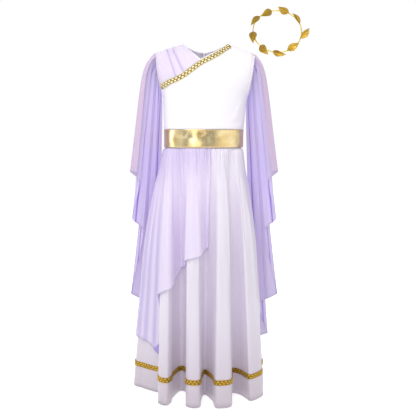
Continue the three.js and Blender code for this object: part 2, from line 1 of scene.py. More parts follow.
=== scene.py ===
import math
import bpy
import numpy as np
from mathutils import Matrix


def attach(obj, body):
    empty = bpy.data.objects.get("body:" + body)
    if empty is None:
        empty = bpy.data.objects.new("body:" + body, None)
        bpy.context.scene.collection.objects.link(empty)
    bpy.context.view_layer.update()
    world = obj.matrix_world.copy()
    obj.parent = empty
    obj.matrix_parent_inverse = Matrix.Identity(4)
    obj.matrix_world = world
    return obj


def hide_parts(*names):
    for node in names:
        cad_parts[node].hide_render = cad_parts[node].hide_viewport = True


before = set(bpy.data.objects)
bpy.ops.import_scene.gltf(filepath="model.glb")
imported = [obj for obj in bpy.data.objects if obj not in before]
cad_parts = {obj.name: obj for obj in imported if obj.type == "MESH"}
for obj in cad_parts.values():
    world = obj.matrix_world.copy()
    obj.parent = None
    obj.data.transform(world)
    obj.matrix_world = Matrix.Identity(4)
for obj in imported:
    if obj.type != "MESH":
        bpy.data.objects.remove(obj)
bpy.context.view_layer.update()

# A child's princess dress in the Roman manner, worn but empty, with its gold leaf circlet. The tables
# and the sheets of points below are in millimetres, x to the wearer's left, y to the back and z up.
# In a table, left and right mean the sides of the front view.

# Bodice: a front and two backs of white satin, cut to the body's form, seamed at the shoulders and the
# sides, and closed by the zip at the centre back. Its lower edge meets the top of the belt.


def columns(names, rows):
    """A table with named columns."""
    return dict(zip(names.split(), np.array(rows, float).T))


def curve(table, key, name, at):
    """A smooth curve through a column of a table, read at one place or at many."""
    keys, values = table[key], table[name]
    before = np.r_[0, 0:len(keys) - 1]
    after = np.r_[1:len(keys), len(keys) - 1]
    slopes = (values[after] - values[before]) / (keys[after] - keys[before])
    if keys[-1] < keys[0]:
        keys, values, slopes = keys[::-1], values[::-1], slopes[::-1]
    at = np.clip(at, keys[0], keys[-1])
    i = np.clip(np.searchsorted(keys, at, side="right") - 1, 0, len(keys) - 2)
    span = keys[i + 1] - keys[i]
    t = (at - keys[i]) / span
    rise = values[i + 1] - values[i]
    bend, next_bend = slopes[i] * span, slopes[i + 1] * span
    return (values[i] + bend * t + (3 * rise - 2 * bend - next_bend) * t ** 2
            + (bend + next_bend - 2 * rise) * t ** 3)


def mix(start, end, share):
    """What lies between a start and an end, at a share of the way."""
    return start + (end - start) * share


def ease(share):
    """A share from 0 to 1 that starts and ends gently, and stays at 0 or 1 beyond."""
    share = np.clip(share, 0, 1)
    return share * share * (3 - 2 * share)


def bump(distance, width):
    """A soft ridge of height 1 across a distance."""
    return np.exp(-(distance / width) ** 2)


def outward(sheet):
    """The directions square to a sheet of points whose rows run down and whose columns run along it."""
    down = np.gradient(sheet, axis=0)
    along = np.gradient(sheet, axis=1)
    square = np.cross(down, along)
    return square / np.maximum(np.linalg.norm(square, axis=2, keepdims=True), 1e-9)


def moved_out(sheet, distance):
    """A sheet moved square to itself, by one distance or by one for each point."""
    return sheet + outward(sheet) * np.broadcast_to(distance, sheet.shape[:2])[..., None]


def length_along(sheet, axis):
    """How far each point of a sheet lies from its first row or its first column, along the cloth."""
    start = sheet[:1] if axis == 0 else sheet[:, :1]
    return np.linalg.norm(np.diff(sheet, axis=axis, prepend=start), axis=2).cumsum(axis)


def cut_size(sheet, axes=(0, 1, 2)):
    """The flat cut of a sheet of points, in metres, whose width is measured along the named axes."""
    along = np.linalg.norm(np.diff(sheet[..., axes], axis=1), axis=2).sum(1).max() / 1000
    down = np.linalg.norm(np.diff(sheet, axis=0), axis=2).sum(0).max() / 1000
    one = np.cross(sheet[1:, :-1] - sheet[:-1, :-1], sheet[:-1, 1:] - sheet[:-1, :-1])
    other = np.cross(sheet[:-1, 1:] - sheet[1:, 1:], sheet[1:, :-1] - sheet[1:, 1:])
    area = sum(np.linalg.norm(half, axis=2).sum() for half in (one, other)) / 2e6
    return {"flat": (along, down), "area": min(area, along * down)}


def mesh_piece(name, points, faces, finish, cut=None, marks=None):
    """A mesh object from points in millimetres, with its cut as a map in metres and its marks kept."""
    mesh = bpy.data.meshes.new(name)
    mesh.from_pydata((points / 1000).tolist(), [], faces.tolist())
    if cut is not None:
        corner = np.empty(len(mesh.loops), dtype=np.int32)
        mesh.loops.foreach_get("vertex_index", corner)
        mesh.uv_layers.new(name="cut").uv.foreach_set("vector", cut[corner].astype(np.float32).ravel())
    for mark, values in (marks or {}).items():
        kept = mesh.attributes.new(mark, "FLOAT", "POINT")
        kept.data.foreach_set("value", values.astype(np.float32).ravel())
    mesh.materials.append(finish)
    mesh.shade_smooth()
    piece = bpy.data.objects.new(name, mesh)
    bpy.context.scene.collection.objects.link(piece)
    return piece


def cloth(name, sheet, thick, finish, marks=None):
    """Cloth from a sheet of points: a thin shell, half its thickness to each side, with a closed rim."""
    high, wide = sheet.shape[:2]
    count = high * wide
    half = outward(sheet) * thick / 2
    points = np.concatenate([(sheet + half).reshape(-1, 3), (sheet - half).reshape(-1, 3)])
    at = np.arange(count).reshape(high, wide)
    outer = np.stack([at[:-1, :-1], at[1:, :-1], at[1:, 1:], at[:-1, 1:]], -1).reshape(-1, 4)
    ring = np.concatenate([at[:, 0], at[-1, 1:], at[-2::-1, -1], at[0, -2:0:-1]])
    following = np.roll(ring, -1)
    rim = np.stack([ring, ring + count, following + count, following], -1)
    faces = np.concatenate([outer, outer[:, ::-1] + count, rim])
    cut = np.stack([length_along(sheet, 1), length_along(sheet, 0)], -1).reshape(-1, 2) / 1000
    doubled = {mark: np.tile(np.broadcast_to(values, (high, wide)).ravel(), 2)
               for mark, values in (marks or {}).items()}
    return mesh_piece(name, points, faces, finish, np.tile(cut, (2, 1)), doubled)


def fit(piece, nodes):
    """Fixes a piece on the dress, in place of the solids that it stands for."""
    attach(piece, "dress")
    if nodes:
        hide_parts(*nodes)


class Value:
    """A socket that sums can be written with: each operator adds a Math node to its tree."""

    def __init__(self, socket):
        self.socket = socket

    def math(self, operation, *others):
        node = self.socket.id_data.nodes.new("ShaderNodeMath")
        node.operation = operation
        for place, value in enumerate((self, *others)):
            plug(node.inputs[place], value)
        return Value(node.outputs[0])

    def __add__(self, other):
        return self.math("ADD", other)

    def __mul__(self, other):
        return self.math("MULTIPLY", other)

    def __sub__(self, other):
        return self.math("SUBTRACT", other)

    def __rsub__(self, other):
        return (self * -1).math("ADD", other)

    def __truediv__(self, other):
        return self.math("DIVIDE", other)

    def __pow__(self, other):
        return self.math("POWER", other)

    def clamped(self):
        return self.math("MAXIMUM", 0).math("MINIMUM", 1)

    __radd__ = __add__
    __rmul__ = __mul__


def plug(socket, value):
    """Links a socket where the value is a link, and sets it where it is a number or a colour."""
    if isinstance(value, Value):
        socket.id_data.links.new(value.socket, socket)
    else:
        socket.default_value = value


class Nodes:
    """The nodes of a material or of the surroundings. Each comes with its settings, then its sockets."""

    def __init__(self, owner):
        owner.use_nodes = True
        self.nodes = owner.node_tree.nodes
        self.nodes.clear()

    def node(self, kind, settings=None, sockets=None):
        made = self.nodes.new(kind)
        for setting, value in (settings or {}).items():
            setattr(made, setting, value)
        for socket, value in (sockets or {}).items():
            plug(made.inputs[socket], value)
        return made


class Finish(Nodes):
    """One material: its nodes, and the shader that they feed."""

    def __init__(self, name, **constants):
        self.material = bpy.data.materials.new(name)
        super().__init__(self.material)
        self.shader = self.node("ShaderNodeBsdfPrincipled")
        self.node("ShaderNodeOutputMaterial", None, {"Surface": Value(self.shader.outputs[0])})
        for socket, value in constants.items():
            plug(self.shader.inputs[socket.replace("_", " ")], value)

    def feed(self, socket, value):
        """Sets or links one socket of the shader."""
        plug(self.shader.inputs[socket], value)

    def cut(self):
        """The places along and down the flat cut, in metres, as a vector and as two numbers."""
        where = Value(self.node("ShaderNodeUVMap", {"uv_map": "cut"}).outputs[0])
        split = self.node("ShaderNodeSeparateXYZ", None, {0: where})
        return where, Value(split.outputs[0]), Value(split.outputs[1])

    def mark(self, name):
        """The mark that a mesh keeps at its points, as a number."""
        kept = self.node("ShaderNodeAttribute", {"attribute_name": name})
        return Value(kept.outputs["Fac"])

    def noise(self, scale, detail=2, where=None, stretch=(1, 1, 1)):
        """Soft noise from 0 to 1, over the object or over a vector such as the flat cut."""
        if where is None:
            where = Value(self.node("ShaderNodeTexCoord").outputs["Object"])
        moved = self.node("ShaderNodeMapping", None, {"Vector": where, "Scale": stretch})
        made = self.node("ShaderNodeTexNoise", None,
                         {"Vector": Value(moved.outputs[0]), "Scale": scale, "Detail": detail})
        return Value(made.outputs["Fac"])

    def wave(self, place, pitch):
        """A ripple from 0 to 1 with a pitch in metres."""
        return (place * (2 * math.pi / pitch)).math("SINE") * 0.5 + 0.5

    def between(self, share, first, second):
        """A colour between two, at a share of the way."""
        made = self.node("ShaderNodeMix", {"data_type": "RGBA"}, {0: share, 6: first, 7: second})
        return Value(made.outputs[2])

    def raise_up(self, height, distance, strength):
        """Feeds a height from 0 to 1 to the shader's Normal, as relief of that many metres."""
        made = self.node("ShaderNodeBump", None,
                         {"Height": height, "Distance": distance, "Strength": strength})
        self.feed("Normal", Value(made.outputs[0]))


def shown(red, green, blue):
    """A colour as seen, 0 to 255, turned into the shader's linear one."""
    return tuple((c / 255 / 12.92) if c <= 10 else ((c / 255 + 0.055) / 1.055) ** 2.4
                 for c in (red, green, blue)) + (1,)


# The pitch of the satin's floats along and down it and of its stitches, in metres, and the colours of
# its stitches and of the painted shade towards its edges
float_pitch = 0.0008
pick_pitch = 0.0011
satin_stitch_pitch = 0.0032
stitch_grey = shown(204, 194, 212)
edge_shade_grey = shown(192, 180, 190)


def satin_finish(name, stitched, reach, low, high):
    """White satin: a smooth face with fine floats down the cloth, a stitched line where one is set, and
    painted shade that dims its tone over a reach towards the edge. The places of the line and the reach
    are in millimetres from the edge. It glows a little, painted light that lifts its shade."""
    # Painted light: a faint glow in the satin's own pale colour lifts it everywhere, shade included
    finish = Finish(name, IOR=1.45, Sheen_Weight=0.25, Sheen_Roughness=0.4,
                    Sheen_Tint=shown(250, 246, 255), Emission_Color=shown(216, 206, 226),
                    Emission_Strength=0.08)
    where, along, down = finish.cut()
    cloud = finish.noise(9, 3)
    fibre = finish.noise(260, 2, where, (1, 0.12, 1))
    weave = finish.wave(along, float_pitch) * 0.5 + finish.wave(down, pick_pitch) * 0.5
    edge = finish.mark("edge")
    line = (1 - (edge - stitched).math("ABSOLUTE") / 0.7).clamped()
    stitches = line * (finish.wave(along, satin_stitch_pitch) * 0.6 + 0.4)
    # Painted shade: the tone darkens towards the edge over the reach, into the edge grey
    doubled = (1 - edge / reach).clamped() ** 1.5
    tone = finish.between(doubled * 0.9, finish.between(cloud, low, high), edge_shade_grey)
    finish.feed("Base Color", finish.between(line * 0.3, tone, stitch_grey))
    finish.feed("Roughness", fibre * 0.16 + 0.3 + line * 0.1)
    relief = weave * 0.25 + fibre * 0.35 + (1 - stitches) * 0.9
    finish.raise_up(relief, distance=0.0006, strength=0.35)
    return finish.material


# How thick the satin is, and how far each piece stays from a seam, so that no two overlap
satin_thick = 1.0
seam_gap = 0.6
# The body's form by level: its half-widths to the side seam or the armhole, how far it goes on past that
# edge, and its half-depths
torso = columns("z left right spare front back", [
    (15, 143, 149, 12, 88, 84),
    (-14, 142, 149, 12, 88, 84),
    (-61, 137, 143, 13, 89, 84),
    (-90, 132, 138, 11, 90, 83),
    (-112, 127, 134, 6, 90, 82),
    (-130, 122.5, 130, 1.6, 89, 81),
    (-140, 121, 128, 0, 89, 80),
    (-165, 119.5, 123.5, 0, 88, 79),
    (-195, 118.5, 120, 0, 86, 79),
    (-234, 117.5, 116.5, 0, 85, 80),
    (-286, 117.5, 115, 0, 87, 82),
])
# The shoulders by side: their tips by x and z, and where the neckline meets them
tip = {-1: (-143, -10), 1: (149, -14)}
neck_point = {-1: -60, 1: 72}
neck_point_z = 15
# The level where the bodice ends and the belt starts, and how far each stays from it
belt_top = -234
belt_gap = 0.4
front, back = -1, 1
body_power = 2.2
shoulder_rounding = {front: 42, back: 30}


def body_width(x, z):
    """The half-width to the side seam or armhole on the side that x is on."""
    return np.where(x < 0, curve(torso, "z", "left", z), curve(torso, "z", "right", z))


def shoulder_z(x):
    """The level of the shoulder seam at a place across."""
    heights = []
    for side in (-1, 1):
        tip_x, tip_z = tip[side]
        share = np.clip((x - tip_x) / (neck_point[side] - tip_x), 0, 1)
        heights.append(mix(tip_z, neck_point_z, share))
    return np.where(x < 0, *heights)


def body_point(x, z, side):
    """Places on the body's form, by place across and level, on its front or its back."""
    x, z = np.broadcast_arrays(np.asarray(x, float), np.asarray(z, float))
    full = body_width(x, z) + curve(torso, "z", "spare", z)
    depth = curve(torso, "z", "front" if side == front else "back", z)
    fall = 1 - np.exp(-np.maximum(0, shoulder_z(x) - z) / shoulder_rounding[side])
    across = np.clip(np.abs(x) / full, 0, 1)
    y = seam_gap + depth * fall * (1 - across ** body_power) ** (1 / body_power)
    return np.stack([x, side * y, z], -1)


def top_z(x, low_x, low_z, straight_left, straight_right):
    """The neckline and the shoulder seams: straight says how much each slope from the low point is so."""
    reach = np.where(x < low_x, neck_point[-1] - low_x, neck_point[1] - low_x)
    share = np.clip((x - low_x) / reach, 0, 1)
    straight = np.where(x < low_x, straight_left, straight_right)
    neck = mix(low_z, neck_point_z, mix(share ** 2, share, straight))
    return np.where((x < neck_point[-1]) | (x > neck_point[1]), shoulder_z(x), neck)


def turn_at(x):
    """The turn round the body, in degrees, of a place across the shoulders."""
    return math.degrees(math.asin(x / abs(tip[-1 if x < 0 else 1][0])))


def turns_between(marks, step):
    """Turns round the body, evenly spaced between marks and with one on each mark."""
    turns = [marks[:1]]
    for start, end in zip(marks[:-1], marks[1:]):
        count = max(1, round(abs(end - start) / step))
        turns.append(np.linspace(start, end, count + 1)[1:])
    return np.concatenate(turns)


# Soft creases: from one place to another, by x and z, with a height and a width
front_creases = [
    (88, -196, 112, -150, 1.6, 6),
    (70, -214, 104, -188, 1.4, 5),
    (96, -226, 114, -214, 1.1, 4),
    (-104, -222, -86, -186, 1.2, 6),
    (-70, -230, -58, -196, 0.9, 6),
    (-14, -230, -10, -176, 0.8, 9),
    (34, -232, 42, -190, 1.0, 7),
    (60, -60, 112, -96, 1.2, 9),
    (20, -76, 92, -128, 0.9, 12),
    (104, -40, 128, -78, 1.1, 6),
]
back_creases = [
    (-90, -190, -112, -150, 1.4, 6),
    (-66, -216, -100, -190, 1.2, 5),
    (84, -198, 110, -158, 1.4, 6),
    (52, -222, 96, -204, 1.0, 5),
    (24, -230, 30, -184, 0.9, 7),
    (-28, -230, -34, -180, 0.9, 7),
    (-52, -36, -112, -70, 1.2, 9),
    (56, -40, 116, -76, 1.2, 9),
]


def creased(sheet, creases):
    """Raises a sheet along its creases, which fade at both ends."""
    height = np.zeros(sheet.shape[:2])
    for x0, z0, x1, z1, high, wide in creases:
        long = math.hypot(x1 - x0, z1 - z0)
        ux, uz = (x1 - x0) / long, (z1 - z0) / long
        run = (sheet[..., 0] - x0) * ux + (sheet[..., 2] - z0) * uz
        off = (sheet[..., 2] - z0) * ux - (sheet[..., 0] - x0) * uz
        fade = bump((run / long - 0.5) * 2, 0.75)
        height += high * fade * (bump(off, wide) - 0.45 * bump(off - 1.7 * wide, wide))
    return moved_out(sheet, height)


bodice_rows = 72
bodice_step = 1.4


def bodice_panel(turns, side, neckline):
    """A panel of the bodice, from the neckline and shoulder down to the belt."""
    share = np.sin(np.radians(turns))[None, :]
    top_x = share * np.where(share < 0, -tip[-1][0], tip[1][0])
    up = 1 - (1 - np.linspace(1, 0, bodice_rows)[:, None]) ** 1.25
    z = mix(belt_top + belt_gap, top_z(top_x, *neckline), up)
    return body_point(share * body_width(share, z), z, side)


def edge_distance(sheet):
    """How far each point is from the panel's armhole or shoulder edge, in millimetres."""
    across = length_along(sheet, 1)
    return np.minimum(across, across[:, -1:] - across)


bodice_satin = satin_finish("bodice_satin", stitched=5, reach=16,
                            low=shown(238, 235, 243), high=shown(243, 240, 247))
zip_half_gap = 1.2
# Necklines by their low point, x and z, and how straight each slope from it is
front_neck = (-10, -33, 0.9, 0.9)
back_neck = (6, -6, 0, 0.8)
front_turns = [-90, turn_at(neck_point[-1]), turn_at(front_neck[0]), turn_at(neck_point[1]), 90]
left_turns = [90, turn_at(neck_point[1]), turn_at(zip_half_gap)]
right_turns = [turn_at(-zip_half_gap), turn_at(neck_point[-1]), -90]
panels = {
    "bodice_front": (front_turns, front, front_neck, front_creases),
    "bodice_back_left": (left_turns, back, back_neck, back_creases),
    "bodice_back_right": (right_turns, back, back_neck, back_creases),
}
for node, (marks, side, neckline, creases) in panels.items():
    sheet = creased(bodice_panel(turns_between(marks, bodice_step), side, neckline), creases)
    piece = cloth(node + "_satin", sheet, satin_thick, bodice_satin, {"edge": edge_distance(sheet)})
    fit(piece, [node])
    cut_size(sheet)

# Armhole facings: a narrow double fold of the same satin, turned over each armhole's edge and sewn down.
# The one under the shoulder drape shows only below it.
facing_reach = 5
facing_low = -136
facing_off = 0.9
facing_thick = 0.7
facing_rows = 60
# Their edge mark lies past the stitched line and past the painted edge shade
past_stitches = 40
# Each row is a side, the front or the back, and the level where the strip starts
facings = {
    "facing_left_front": (1, front, -20),
    "facing_left_back": (1, back, -20),
    "facing_right_front": (-1, front, -120),
    "facing_right_back": (-1, back, -16),
}
for name, (side, facing_side, high_z) in facings.items():
    levels = np.linspace(high_z, facing_low, facing_rows)
    x_edge = side * body_width(side, levels)
    lines = []
    for inward in (0, 0.35, 0.7, 1):
        lines.append(body_point(x_edge - side * inward * facing_reach, levels, facing_side))
    strip = np.stack(lines, 1)
    strip = strip if side * facing_side > 0 else strip[:, ::-1]
    strip = moved_out(strip, facing_off)
    piece = cloth(name, strip, facing_thick, bodice_satin, {"edge": past_stitches})
    fit(piece, [])
    cut_size(strip)

# Shoulder drape: lavender chiffon laid in soft pleats over one shoulder of the front, from the shoulder
# seam to the braid, and caught in at both.


# The chiffon's threads in metres, its rolled hem and stitches in millimetres from the edge, and the
# colours of its folds, partly painted shade, of its inner panels, a painted lift, and of its painted glow
chiffon_pitch = 0.0012
rolled_width = 2.6
hem_stitched = 4.2
fold_shade_violet = shown(144, 112, 206)
inner_lift_blue = shown(206, 195, 232)
open_painted_glow = shown(200, 188, 222)
fold_painted_glow = shown(110, 80, 180)


def chiffon_finish(name, alpha, strong, pale, painted_glow, rosy=None):
    """Lavender chiffon: an open crisp weave that lets some light through, with a rolled and stitched
    hem. It is deeper where it is folded on itself, partly the doubled cloth and partly painted shade in
    the folds, and glows a little, painted light that is weaker in the folds. Where it can be rosy, its
    inner panels near the top are bluer and lighter, painted light that lifts their shade."""
    finish = Finish(name, IOR=1.4, Sheen_Weight=0.35, Sheen_Roughness=0.5,
                    Sheen_Tint=shown(236, 228, 250), Emission_Strength=painted_glow)
    where, along, down = finish.cut()
    cloud = finish.noise(7, 3)
    crimp = finish.noise(340, 2, where, (1, 0.2, 1))
    weave = finish.wave(along, chiffon_pitch) * 0.5 + finish.wave(down, chiffon_pitch) * 0.5
    hem = finish.mark("hem")
    folded = finish.mark("folded")
    rolled = (1 - hem / rolled_width).clamped()
    stitch = (1 - (hem - hem_stitched).math("ABSOLUTE") / 0.8).clamped() * 0.6
    tone = finish.between(cloud, strong, pale)
    if rosy:
        tone = finish.between(finish.mark("rosy"), tone, rosy)
        tone = finish.between(finish.mark("inner_lift"), tone, inner_lift_blue)
    # Deeper violet at the rolled hem, which is doubled cloth, and in the folds, partly doubled cloth and
    # partly painted shade
    deep = (folded + rolled * 0.3).clamped()
    finish.feed("Base Color", finish.between(deep, tone, fold_shade_violet))
    # Painted glow, which is weaker in the folds as painted shade
    finish.feed("Emission Color", finish.between(folded, open_painted_glow, fold_painted_glow))
    finish.feed("Roughness", crimp * 0.15 + 0.5)
    closed = alpha + weave * 0.06 - 0.03 + rolled * 0.2 + stitch * 0.2 + folded * 0.2
    finish.feed("Alpha", closed.clamped())
    finish.raise_up(weave * 0.4 + crimp * 0.6, distance=0.0005, strength=0.4)
    return finish.material


def pleated(even, pleats):
    """Folds an even run back over itself at narrow pleats: where each point lies, how far it stands off
    (in units of the cloth's rise), and how much it is folded."""
    place, apart, folded = even.copy(), 0 * even, 0 * even
    for at, wide in pleats:
        off = (even - at) / wide
        place -= 2.6 * wide * off * np.exp(-off ** 2)
        apart += 2 * off * np.exp(-(off / 1.6) ** 2)
        folded += bump(off, 0.9)
    return place, apart, folded


chiffon_thick = 0.5
drape_off = 1.35
drape_chiffon = chiffon_finish("drape_chiffon", alpha=0.62, strong=shown(235, 224, 242),
                               pale=shown(241, 232, 247), painted_glow=0.05)
# Two narrow folds by their place across and their width, and soft pleats by place, height and width
drape_folds = [(0.425, 0.03), (0.62, 0.03)]
drape_pleats = [
    (0.07, 0.9, 0.03), (0.16, 1.2, 0.05), (0.27, 1.1, 0.05), (0.36, 1.6, 0.06), (0.52, 1.8, 0.07),
    (0.7, 1.4, 0.06), (0.8, 1.0, 0.04), (0.89, 1.3, 0.035), (0.96, 0.8, 0.03),
]
# The line where the drape meets the braid
drape_edge = columns("x z", [(-127, -104), (-97, -89.5), (-68, -78), (-39, -56.5), (-14, -36.6)])
across, drape_apart, drape_folded = pleated(np.linspace(0, 1, 260), drape_folds)
across = across[None, :]
down = np.linspace(0, 1, 56)[:, None]
drape_top_x = mix(-141, -61.5, across)
drape_low_x = mix(-127, -14, across)
drape_z = mix(shoulder_z(drape_top_x) - 1.5, curve(drape_edge, "x", "z", drape_low_x), down)
drape_x = np.maximum(1 - body_width(-1, drape_z), mix(drape_top_x, drape_low_x, down))
drape_sheet = body_point(drape_x, drape_z, front)
pleat_height = 1.1 * (drape_apart + 0.9 * drape_folded)[None, :] + 0 * down
for at, high, wide in drape_pleats:
    off = across - at - 0.012 * np.sin(5 * down + 20 * at)
    steep = np.where(off > 0, wide * 0.6, wide * 1.3)
    pleat_height += high * bump(off, steep) * mix(1, 0.45, down)
drape_sheet = moved_out(drape_sheet, drape_off + np.maximum(pleat_height, 0))
drape_hem = np.minimum((1 - across) * 110, across * 110) + 0 * down
# Its two narrow folds are painted deeper, partly the doubled cloth and partly painted shade
drape = cloth("drape", drape_sheet, chiffon_thick, drape_chiffon,
              {"hem": drape_hem, "folded": drape_folded[None, :]})
fit(drape, ["shoulder_drape"])
cut_size(drape_sheet)

# Neck braid: a woven gold tape with a cord along each edge and two rows of faceted gold links, sewn on
# from one shoulder along the neckline and down across the chest.


def gold_finish(name, dark, light, rough, grain, metal=0.9):
    """Gold metal thread or foil, with darker lows."""
    finish = Finish(name, Metallic=metal)
    spots = finish.noise(grain, 3)
    fine = finish.noise(grain * 5, 2)
    finish.feed("Base Color", finish.between(spots, dark, light))
    finish.feed("Roughness", fine * 0.2 + rough)
    finish.raise_up(fine, distance=0.0004, strength=0.5)
    return finish.material


def run_of(line):
    """How far along a line each of its points lies."""
    return np.r_[0, np.linalg.norm(np.diff(line, axis=0), axis=1).cumsum()]


def read_at(at, run, line):
    """Places on a line, or directions given along it, at distances along its run."""
    return np.stack([np.interp(at, run, column) for column in line.T], -1)


def through(points, count):
    """Even steps along a smooth line through points."""
    points = np.array(points, float)
    at = np.r_[0, (np.linalg.norm(np.diff(points, axis=0), axis=1) ** 0.5).cumsum()]
    fine = np.linspace(0, at[-1], 1200)
    line = np.stack([curve({"at": at, "place": column}, "at", "place", fine) for column in points.T], -1)
    run = run_of(line)
    return read_at(np.linspace(0, run[-1], count), run, line)


def ring_faces(nearer, further):
    """Faces between rings of points and the rings that follow them."""
    return np.stack([nearer, np.roll(nearer, -1, 1), np.roll(further, -1, 1), further], -1).reshape(-1, 4)


# A direction that none of the lines below runs along
no_line_points = (0.31, 0.17, 0.93)


def tube(line, radius, sides, closed=False):
    """Points and faces of a tube round a line, whose radius may change along it."""
    forward = np.gradient(line, axis=0)
    if closed:
        forward = np.roll(line, -1, axis=0) - np.roll(line, 1, axis=0)
    forward /= np.linalg.norm(forward, axis=1, keepdims=True)
    first = np.cross(forward, no_line_points)
    first /= np.linalg.norm(first, axis=1, keepdims=True)
    second = np.cross(forward, first)
    turn = np.arange(sides) * 2 * math.pi / sides
    ring = first[:, None] * np.cos(turn)[None, :, None] + second[:, None] * np.sin(turn)[None, :, None]
    points = line[:, None] + ring * np.broadcast_to(radius, len(line))[:, None, None]
    at = np.arange(len(line) * sides).reshape(len(line), sides)
    faces = ring_faces(at, np.roll(at, -1, axis=0)) if closed else ring_faces(at[:-1], at[1:])
    return points.reshape(-1, 3), faces


def joined(parts):
    """Several sets of points and faces as one."""
    counts = np.cumsum([0] + [len(points) for points, _ in parts])
    return (np.concatenate([points for points, _ in parts]),
            np.concatenate([faces + start for (_, faces), start in zip(parts, counts)]))


link_sides = 8
link_profile = [(0.5, 0.0), (0.44, 0.22), (0.24, 0.38), (0.02, 0.42)]


def links(centres, along, side, out, long, size):
    """Faceted domes, flat side down, at centres, each as long along the braid as is given. The profile
    is rings by radius and height, for a size of 1."""
    turn = np.arange(link_sides) * 2 * math.pi / link_sides
    rings = []
    for radius, height in link_profile:
        level = np.full(link_sides, height * size)
        rings.append(np.stack([radius * size * np.cos(turn), radius * size * np.sin(turn), level], -1))
    dome = np.concatenate(rings) * [long / size, 1, 1]
    points = (centres[:, None] + dome[None, :, :1] * along[:, None] + dome[None, :, 1:2] * side[:, None]
              + dome[None, :, 2:] * out[:, None])
    at = np.arange(len(dome)).reshape(-1, link_sides)
    starts = np.arange(len(centres))[:, None, None] * len(dome)
    return points.reshape(-1, 3), (ring_faces(at[:-1], at[1:])[None] + starts).reshape(-1, 4)


cord_twist = 2.4
link_share = 0.68
link_rows = ((0.29, 0), (0.71, 0.5))


def braid_trim(sheet, pitch, size):
    """What is worked on a braid's tape: a twisted cord along each edge, and two rows of long links with
    gaps between them, set like a chequer. A row is a place across the tape and a shift along it."""
    out = outward(sheet)
    along = np.gradient(sheet, axis=1)
    run = run_of(sheet[1])
    parts = []
    for edge in (0, -1):
        radius = 0.65 + 0.2 * np.sin(run * 2 * math.pi / cord_twist)
        parts.append(tube(sheet[edge] + out[edge] * 0.8, radius, sides=6))
    for row, shift in link_rows:
        at = np.arange((0.5 + shift) * pitch, run[-1] - pitch / 2, pitch)
        centre = read_at(at, run, mix(sheet[0], sheet[-1], row))
        up = read_at(at, run, out[1])
        forward = read_at(at, run, along[1])
        forward /= np.linalg.norm(forward, axis=1, keepdims=True)
        parts.append(links(centre + up * 0.5, forward, np.cross(up, forward), up, link_share * pitch, size))
    return joined(parts)


braid_gold = gold_finish("braid_gold", shown(250, 238, 172), shown(255, 254, 228),
                         rough=0.26, grain=420, metal=0.2)
# The tape is a darker gold than the links, partly painted shade in the gaps between them
tape_gold = gold_finish("tape_gold", shown(124, 96, 28), shown(166, 134, 52),
                        rough=0.5, grain=900, metal=0.3)
tape_thick = 0.8
neck_tape_off = 1.9
braid_half = 7
course = through([(-122.5, -112), (-97, -98.5), (-68, -87), (-39, -67.5), (-11, -46.5), (18, -30.5),
                  (46, -14), (76, 9.5)], count=460)
forward = np.gradient(course, axis=0)
forward /= np.linalg.norm(forward, axis=1, keepdims=True)
braid_rows = []
for edge in (1, 0.5, 0, -0.5, -1):
    x = course[:, 0] - edge * forward[:, 1] * braid_half
    z = course[:, 1] + edge * forward[:, 0] * braid_half
    braid_rows.append(body_point(x, np.minimum(z, shoulder_z(x) - 1.6), front))
neck_tape_sheet = moved_out(np.stack(braid_rows), neck_tape_off)
neck_tape = cloth("neck_tape", neck_tape_sheet, tape_thick, tape_gold)
fit(neck_tape, ["neck_trim"])
neck_knots = mesh_piece("neck_knots", *braid_trim(neck_tape_sheet, pitch=11.6, size=5), braid_gold)
fit(neck_knots, [])
cut_size(neck_tape_sheet)

# Belt: a band of gold foil cloth round the waist, stitched along both edges and open at the centre back
# for the zip.


def waist_point(turn, z, inset):
    """Places round the waist, by the turn from the centre front towards the wearer's left."""
    x, y = np.sin(np.radians(turn)), -np.cos(np.radians(turn))
    wide = body_width(x, z) - inset
    deep = np.where(y < 0, curve(torso, "z", "front", z), curve(torso, "z", "back", z)) - inset
    power = 2 / body_power
    return np.stack(np.broadcast_arrays(
        np.sign(x) * wide * np.abs(x) ** power, np.sign(y) * deep * np.abs(y) ** power, z), -1)


# The foil cloth's knit and stitches in metres, and its stitched lines in millimetres from the edges
knit_pitch = 0.0016
foil_stitch_pitch = 0.0035
belt_stitched = 3


def foil_finish():
    """Foil cloth: bright soft metal over a fine knit, with small pressed dents."""
    finish = Finish("belt_foil", Metallic=0.85)
    where, along, down = finish.cut()
    cloud = finish.noise(26, 3)
    dents = finish.noise(90, 2)
    knit = finish.wave(along, knit_pitch) * finish.wave(down, knit_pitch)
    edge = finish.mark("edge")
    line = (1 - (edge - belt_stitched).math("ABSOLUTE") / 0.8).clamped()
    stitches = line * finish.wave(along, foil_stitch_pitch)
    tone = finish.between(cloud, shown(206, 160, 62), shown(255, 246, 206))
    finish.feed("Base Color", finish.between(line * 0.6, tone, shown(170, 128, 74)))
    finish.feed("Roughness", dents * 0.1 + 0.13 + line * 0.2)
    relief = dents * 0.5 + knit * 0.15 + (1 - stitches) * 0.4
    finish.raise_up(relief, distance=0.0006, strength=0.4)
    return finish.material


belt_low = -286
belt_end = 178.6
belt_thick = 1.2
belt_turns = np.linspace(-belt_end, belt_end, 420)[None, :]
belt_z = np.linspace(belt_top - belt_gap, belt_low, 26)[:, None]
belt_sheet = waist_point(belt_turns, belt_z, 0)
